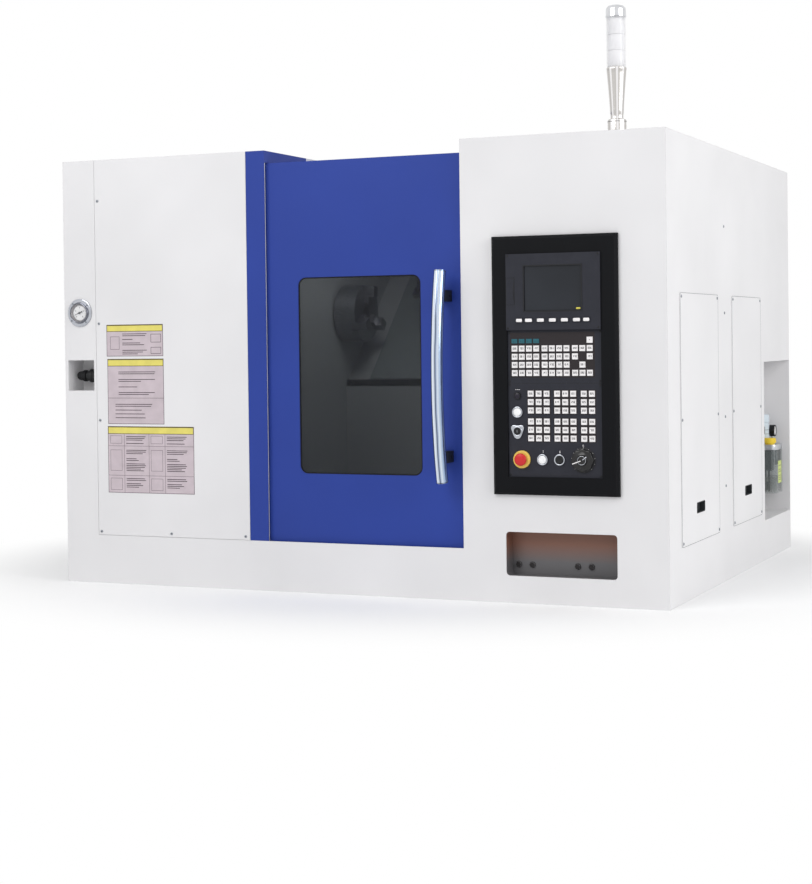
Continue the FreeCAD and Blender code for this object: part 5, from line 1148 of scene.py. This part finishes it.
def wall_between(shape, outer, inner, x, deep, material):
    """A wall between two outlines of (Y, Z), some way deep along X."""
    for number, corner in enumerate(outer):
        after = (number + 1) % len(outer)
        corners = corner, outer[after], inner[after], inner[number]
        shape.prism([(x, *spot) for spot in corners], RIGHT * deep, material)


def make_side_covers():
    """A shadow line round each side cover."""
    lines = Shape()
    wide = 1.1
    for node in SIDE_COVERS:
        low, high = box(node)
        sides = low.y, high.y, low.z, high.z
        outer = rounded_outline(*sides, 8, 8, 0.4)
        inner = rounded_outline(*sides, 8 - wide, 8, 0.4 + wide)
        wall_between(lines, outer, inner, high.x, 0.25, SEAM)
    lines.done("side_cover_lines")


def make_pull_painted_shade():
    """Dark walls and floor in the two finger pulls: painted shade in their recesses."""
    cups = Shape()
    for node in SIDE_COVERS:
        low, high = box(node)
        spots = [vertex.co / MM for vertex in NODES[node].data.vertices]
        rear = [spot for spot in spots if 1.5 < spot.x - low.x < 4]
        sides = [pick(spot[axis] for spot in rear) for axis in (1, 2) for pick in (min, max)]
        left, right, bottom, top = sides
        outer = rounded_outline(*sides, 5.5, inset=0.3)
        inner = rounded_outline(*sides, 4, inset=2)
        floor_x = low.x + 2.1
        wall_between(cups, outer, inner, floor_x, high.x - floor_x + 0.15, PULL_PAINTED_SHADE)
        cups.prism([(floor_x, *spot) for spot in outer], RIGHT, PULL_PAINTED_SHADE)
        # A darker bar under each pull's top lip: painted shade.
        ends = (left + 2, top - 3), (right - 2, top - 3), (right - 2, top - 2), (left + 2, top - 2)
        cups.prism([(floor_x + 4, *spot) for spot in ends], RIGHT * 10, PULL_PAINTED_SHADE)
    cups.done("finger_pull_painted_shade")


def make_pocket_bolts():
    """Hexagon heads over the plain bolt heads of the pocket."""
    low, high = box("pocket_liner")
    bolts = Shape()
    for across in (25, 71, 225, 271):
        place = at(low.x + across, high.y - 3, low.z + 33)
        bolts.turned([(0, -1), (10.5, -1), (10.5, 0.6), (9.8, 1), (0, 1)], place, BOLT, 32)
        bolts.turned([(0, 0.8), (9, 0.8), (9, 6.4), (8, 7.2), (0, 7.2)], place, BOLT, 6)
    bolts.done("pocket_bolt_heads")


make_side_covers()
make_pull_painted_shade()
make_pocket_bolts()


# ---- lubricator
OIL_TANK = clear_plastic("oil_tank", (176, 186, 186), 0.2, 0.12)
OIL = clear_plastic("oil", (120, 122, 112), 0.25)
IMMERSED = moulded("immersed_pump", (16, 18, 22))
TAG = moulded("tank_tag", (200, 214, 120))
YELLOW_CAP = moulded("yellow_cap", (236, 204, 60))
PUMP_BLUE = paint("pump_enamel", (206, 218, 226), 0.4)
LID = 22


def tank_outline(z, radius=21, inset=0.0):
    """The tank's outline at a height."""
    low, high = box("lubricator_tank")
    return [(x, y, z) for x, y in rounded_outline(low.x, high.x, low.y, high.y, radius, 8, inset)]


def make_pump():
    """Motor, gauge, filler and lever on the tank's lid."""
    low, high = box("lubricator_pump")
    tank_low, tank_high = box("lubricator_tank")
    lid = tank_high.z
    middle = (tank_low.y + tank_high.y) / 2
    unit = Shape()
    unit.prism(tank_outline(lid), UP * LID, ALUMINIUM, 2)
    unit.block((low.x, middle - 42, lid), (tank_low.x + 22, middle + 42, lid + LID), ALUMINIUM, 1.5)
    top = lid + LID
    motor = at(high.x - 70, middle, top)
    profile = [
        (0, 0), (30, 0), (30, 5), (27.5, 6), (27.5, 10), (29, 11), (29, 78), (27.5, 80), (27.5, 84),
        (29.4, 85), (29.4, 110), (27, 115), (20, 118), (0, 118),
    ]
    unit.turned(profile, motor, PUMP_BLUE, 56, UP)
    for up in (24, 40, 56):
        unit.turned([(28.8, up - 1), (29.5, up), (28.8, up + 1)], motor, DARK, 56, UP)
    unit.block_at(motor, (-6, -33, 40), (18, -26, 70), PLASTIC, 2)
    gauge = at(high.x - 20, middle + 20, top + 52)
    unit.turned(
        [(0, -25), (21, -25), (23, -22), (23, -3), (22, 0), (20, 0), (19.4, -3), (0, -3)], gauge,
        PLASTIC, axis=RIGHT,
    )
    unit.disc(19.3, -3, -2.4, gauge, DIAL, 40, RIGHT)
    unit.block_at(gauge, (-2.4, -0.7, -3), (-1.6, 0.7, 13), PLASTIC)
    unit.turned(
        [(0, 0), (8, 0), (8, 6), (6, 8), (5.8, 32), (0, 32)], gauge - at(12.5, 0, 52), ALUMINIUM, 6, UP
    )
    filler = at(high.x - 30, tank_low.y + 24, top)
    profile = [(0, 0), (19, 0), (19, 6), (24, 6.5), (24, 22), (22, 25.4), (0, 26)]
    unit.turned(profile, filler, YELLOW_CAP, 56, UP)
    for number in range(20):
        turn = swivel(filler, 18 * number, "Z")
        unit.block((23.6, -1.2, 8), (24.5, 1.2, 21), YELLOW_CAP, 0.3, 1, turn)
    lever = []
    shares = [step / 12 for step in range(13)]
    for share in shares:
        spot = at(22 + 36 * share, -24 - 14 * share, 14 + 22 * share - 26 * share ** 2)
        lever.append(motor + spot)
    unit.tube(lever, [3.4 - 0.8 * share for share in shares], PLASTIC, 14)
    unit.done("lubricator_unit", "lubricator_pump")


def make_tank():
    """Clear tank with its oil, the parts in it and a tag."""
    low, high = box("lubricator_tank")
    tank = Shape()
    tank.prism(tank_outline(low.z), UP * (high.z - low.z - 0.2), OIL_TANK, 3)
    tank.prism(tank_outline(low.z + 4, 18, 4), UP * 62, OIL)
    for near, far in (
        ((20, 12, 90), (118, 60, 170)), ((127, 34, 112), (133, 116, 170)), ((88, 14, 8), (96, 22, 90)),
        ((104, 14, 8), (110, 22, 90)), ((60, 70, 8), (90, 100, 40)),
    ):
        tank.block_at(low, near, far, IMMERSED, 2)
    side = at(high.x, low.y, low.z)
    tank.block_at(side, (-0.6, 34, 40), (0.4, 92, 128), TAG)
    for up in (52, 60, 68, 84, 92, 108):
        tank.block_at(side, (0.2, 40, up), (0.5, 84, up + 2.4), LABEL_LINE)
    tank.done("lubricator_reservoir", "lubricator_tank")


make_pump()
make_tank()


# ---- studio
def rays_that_show_background(tree):
    """One for camera, glossy and transmission rays, else nothing."""
    rays = add_node(tree, "LightPath")
    total = calculate(tree, "MAXIMUM", rays["Is Camera Ray"], rays["Is Glossy Ray"])
    return calculate(tree, "MAXIMUM", total, rays["Is Transmission Ray"])


def mix_surface(tree, share, first, second, output):
    """Mix two shaders by a share, and show it."""
    mix = add_node(tree, "MixShader", {0: share, 1: first.outputs[0], 2: second[0]})
    set_inputs(tree, tree.nodes[output], {"Surface": mix[0]})


@look
def matt(tree, low, high):
    """Dull paint for the floor."""
    tone = ramp(tree, noise(tree, 1.5, 2), grey(low), grey(high))
    return {"Base Color": tone, "Roughness": 0.9, "Specular IOR Level": 0.1}


def make_floor():
    """Pale floor with its shadow, plain white further away."""
    mesh = bpy.data.meshes.new("floor")
    mesh.from_pydata([(-30, -30, 0), (30, -30, 0), (30, 60, 0), (-30, 60, 0)], [], [(0, 1, 2, 3)])
    material = matt("floor", 0.93, 0.95)
    tree = material.node_tree
    spot = model_spot(tree, (1 / 2.1, 1 / 1.9, 1))
    away = add_node(tree, "VectorMath", {0: spot}, operation="LENGTH")["Value"]
    fade = share_between(tree, away, 0.55, 1.0, interpolation_type="SMOOTHSTEP")
    share = calculate(tree, "MULTIPLY", rays_that_show_background(tree), fade)
    mix_surface(tree, share, tree.nodes[SHADER], add_node(tree, "Emission"), "Material Output")
    mesh.materials.append(material)
    add_object("floor", mesh)


def make_world():
    """Soft even light, with a plain white background."""
    world = bpy.data.worlds.new("studio")
    SCENE.world = world
    world.use_nodes = True
    tree = world.node_tree
    light = tree.nodes["Background"]
    set_inputs(tree, light, {"Color": (0.97, 0.98, 1.0, 1), "Strength": 0.5})
    plain = add_node(tree, "Background", {"Color": (1, 1, 1, 1)})
    mix_surface(tree, rays_that_show_background(tree), light, plain, "World Output")


def make_lamp(name, place, aim, power, size):
    data = bpy.data.lights.new(name, "AREA")
    data.energy = power
    data.size = size
    lamp = add_object(name, data)
    lamp.location = place
    lamp.rotation_euler = (Vector(aim) - Vector(place)).to_track_quat("-Z", "Y").to_euler()


make_floor()
make_world()
make_lamp("key", (-1.5, -5.5, 4.5), (0, 0, 0.9), 165, 4)
make_lamp("side", (6.5, -2.0, 3.5), (0.8, 0, 0.9), 210, 4)
make_lamp("inside", (0.05, -0.66, 1.36), (0.0, -0.1, 0.7), 1.5, 0.25)
SCENE.view_settings.view_transform = "Standard"
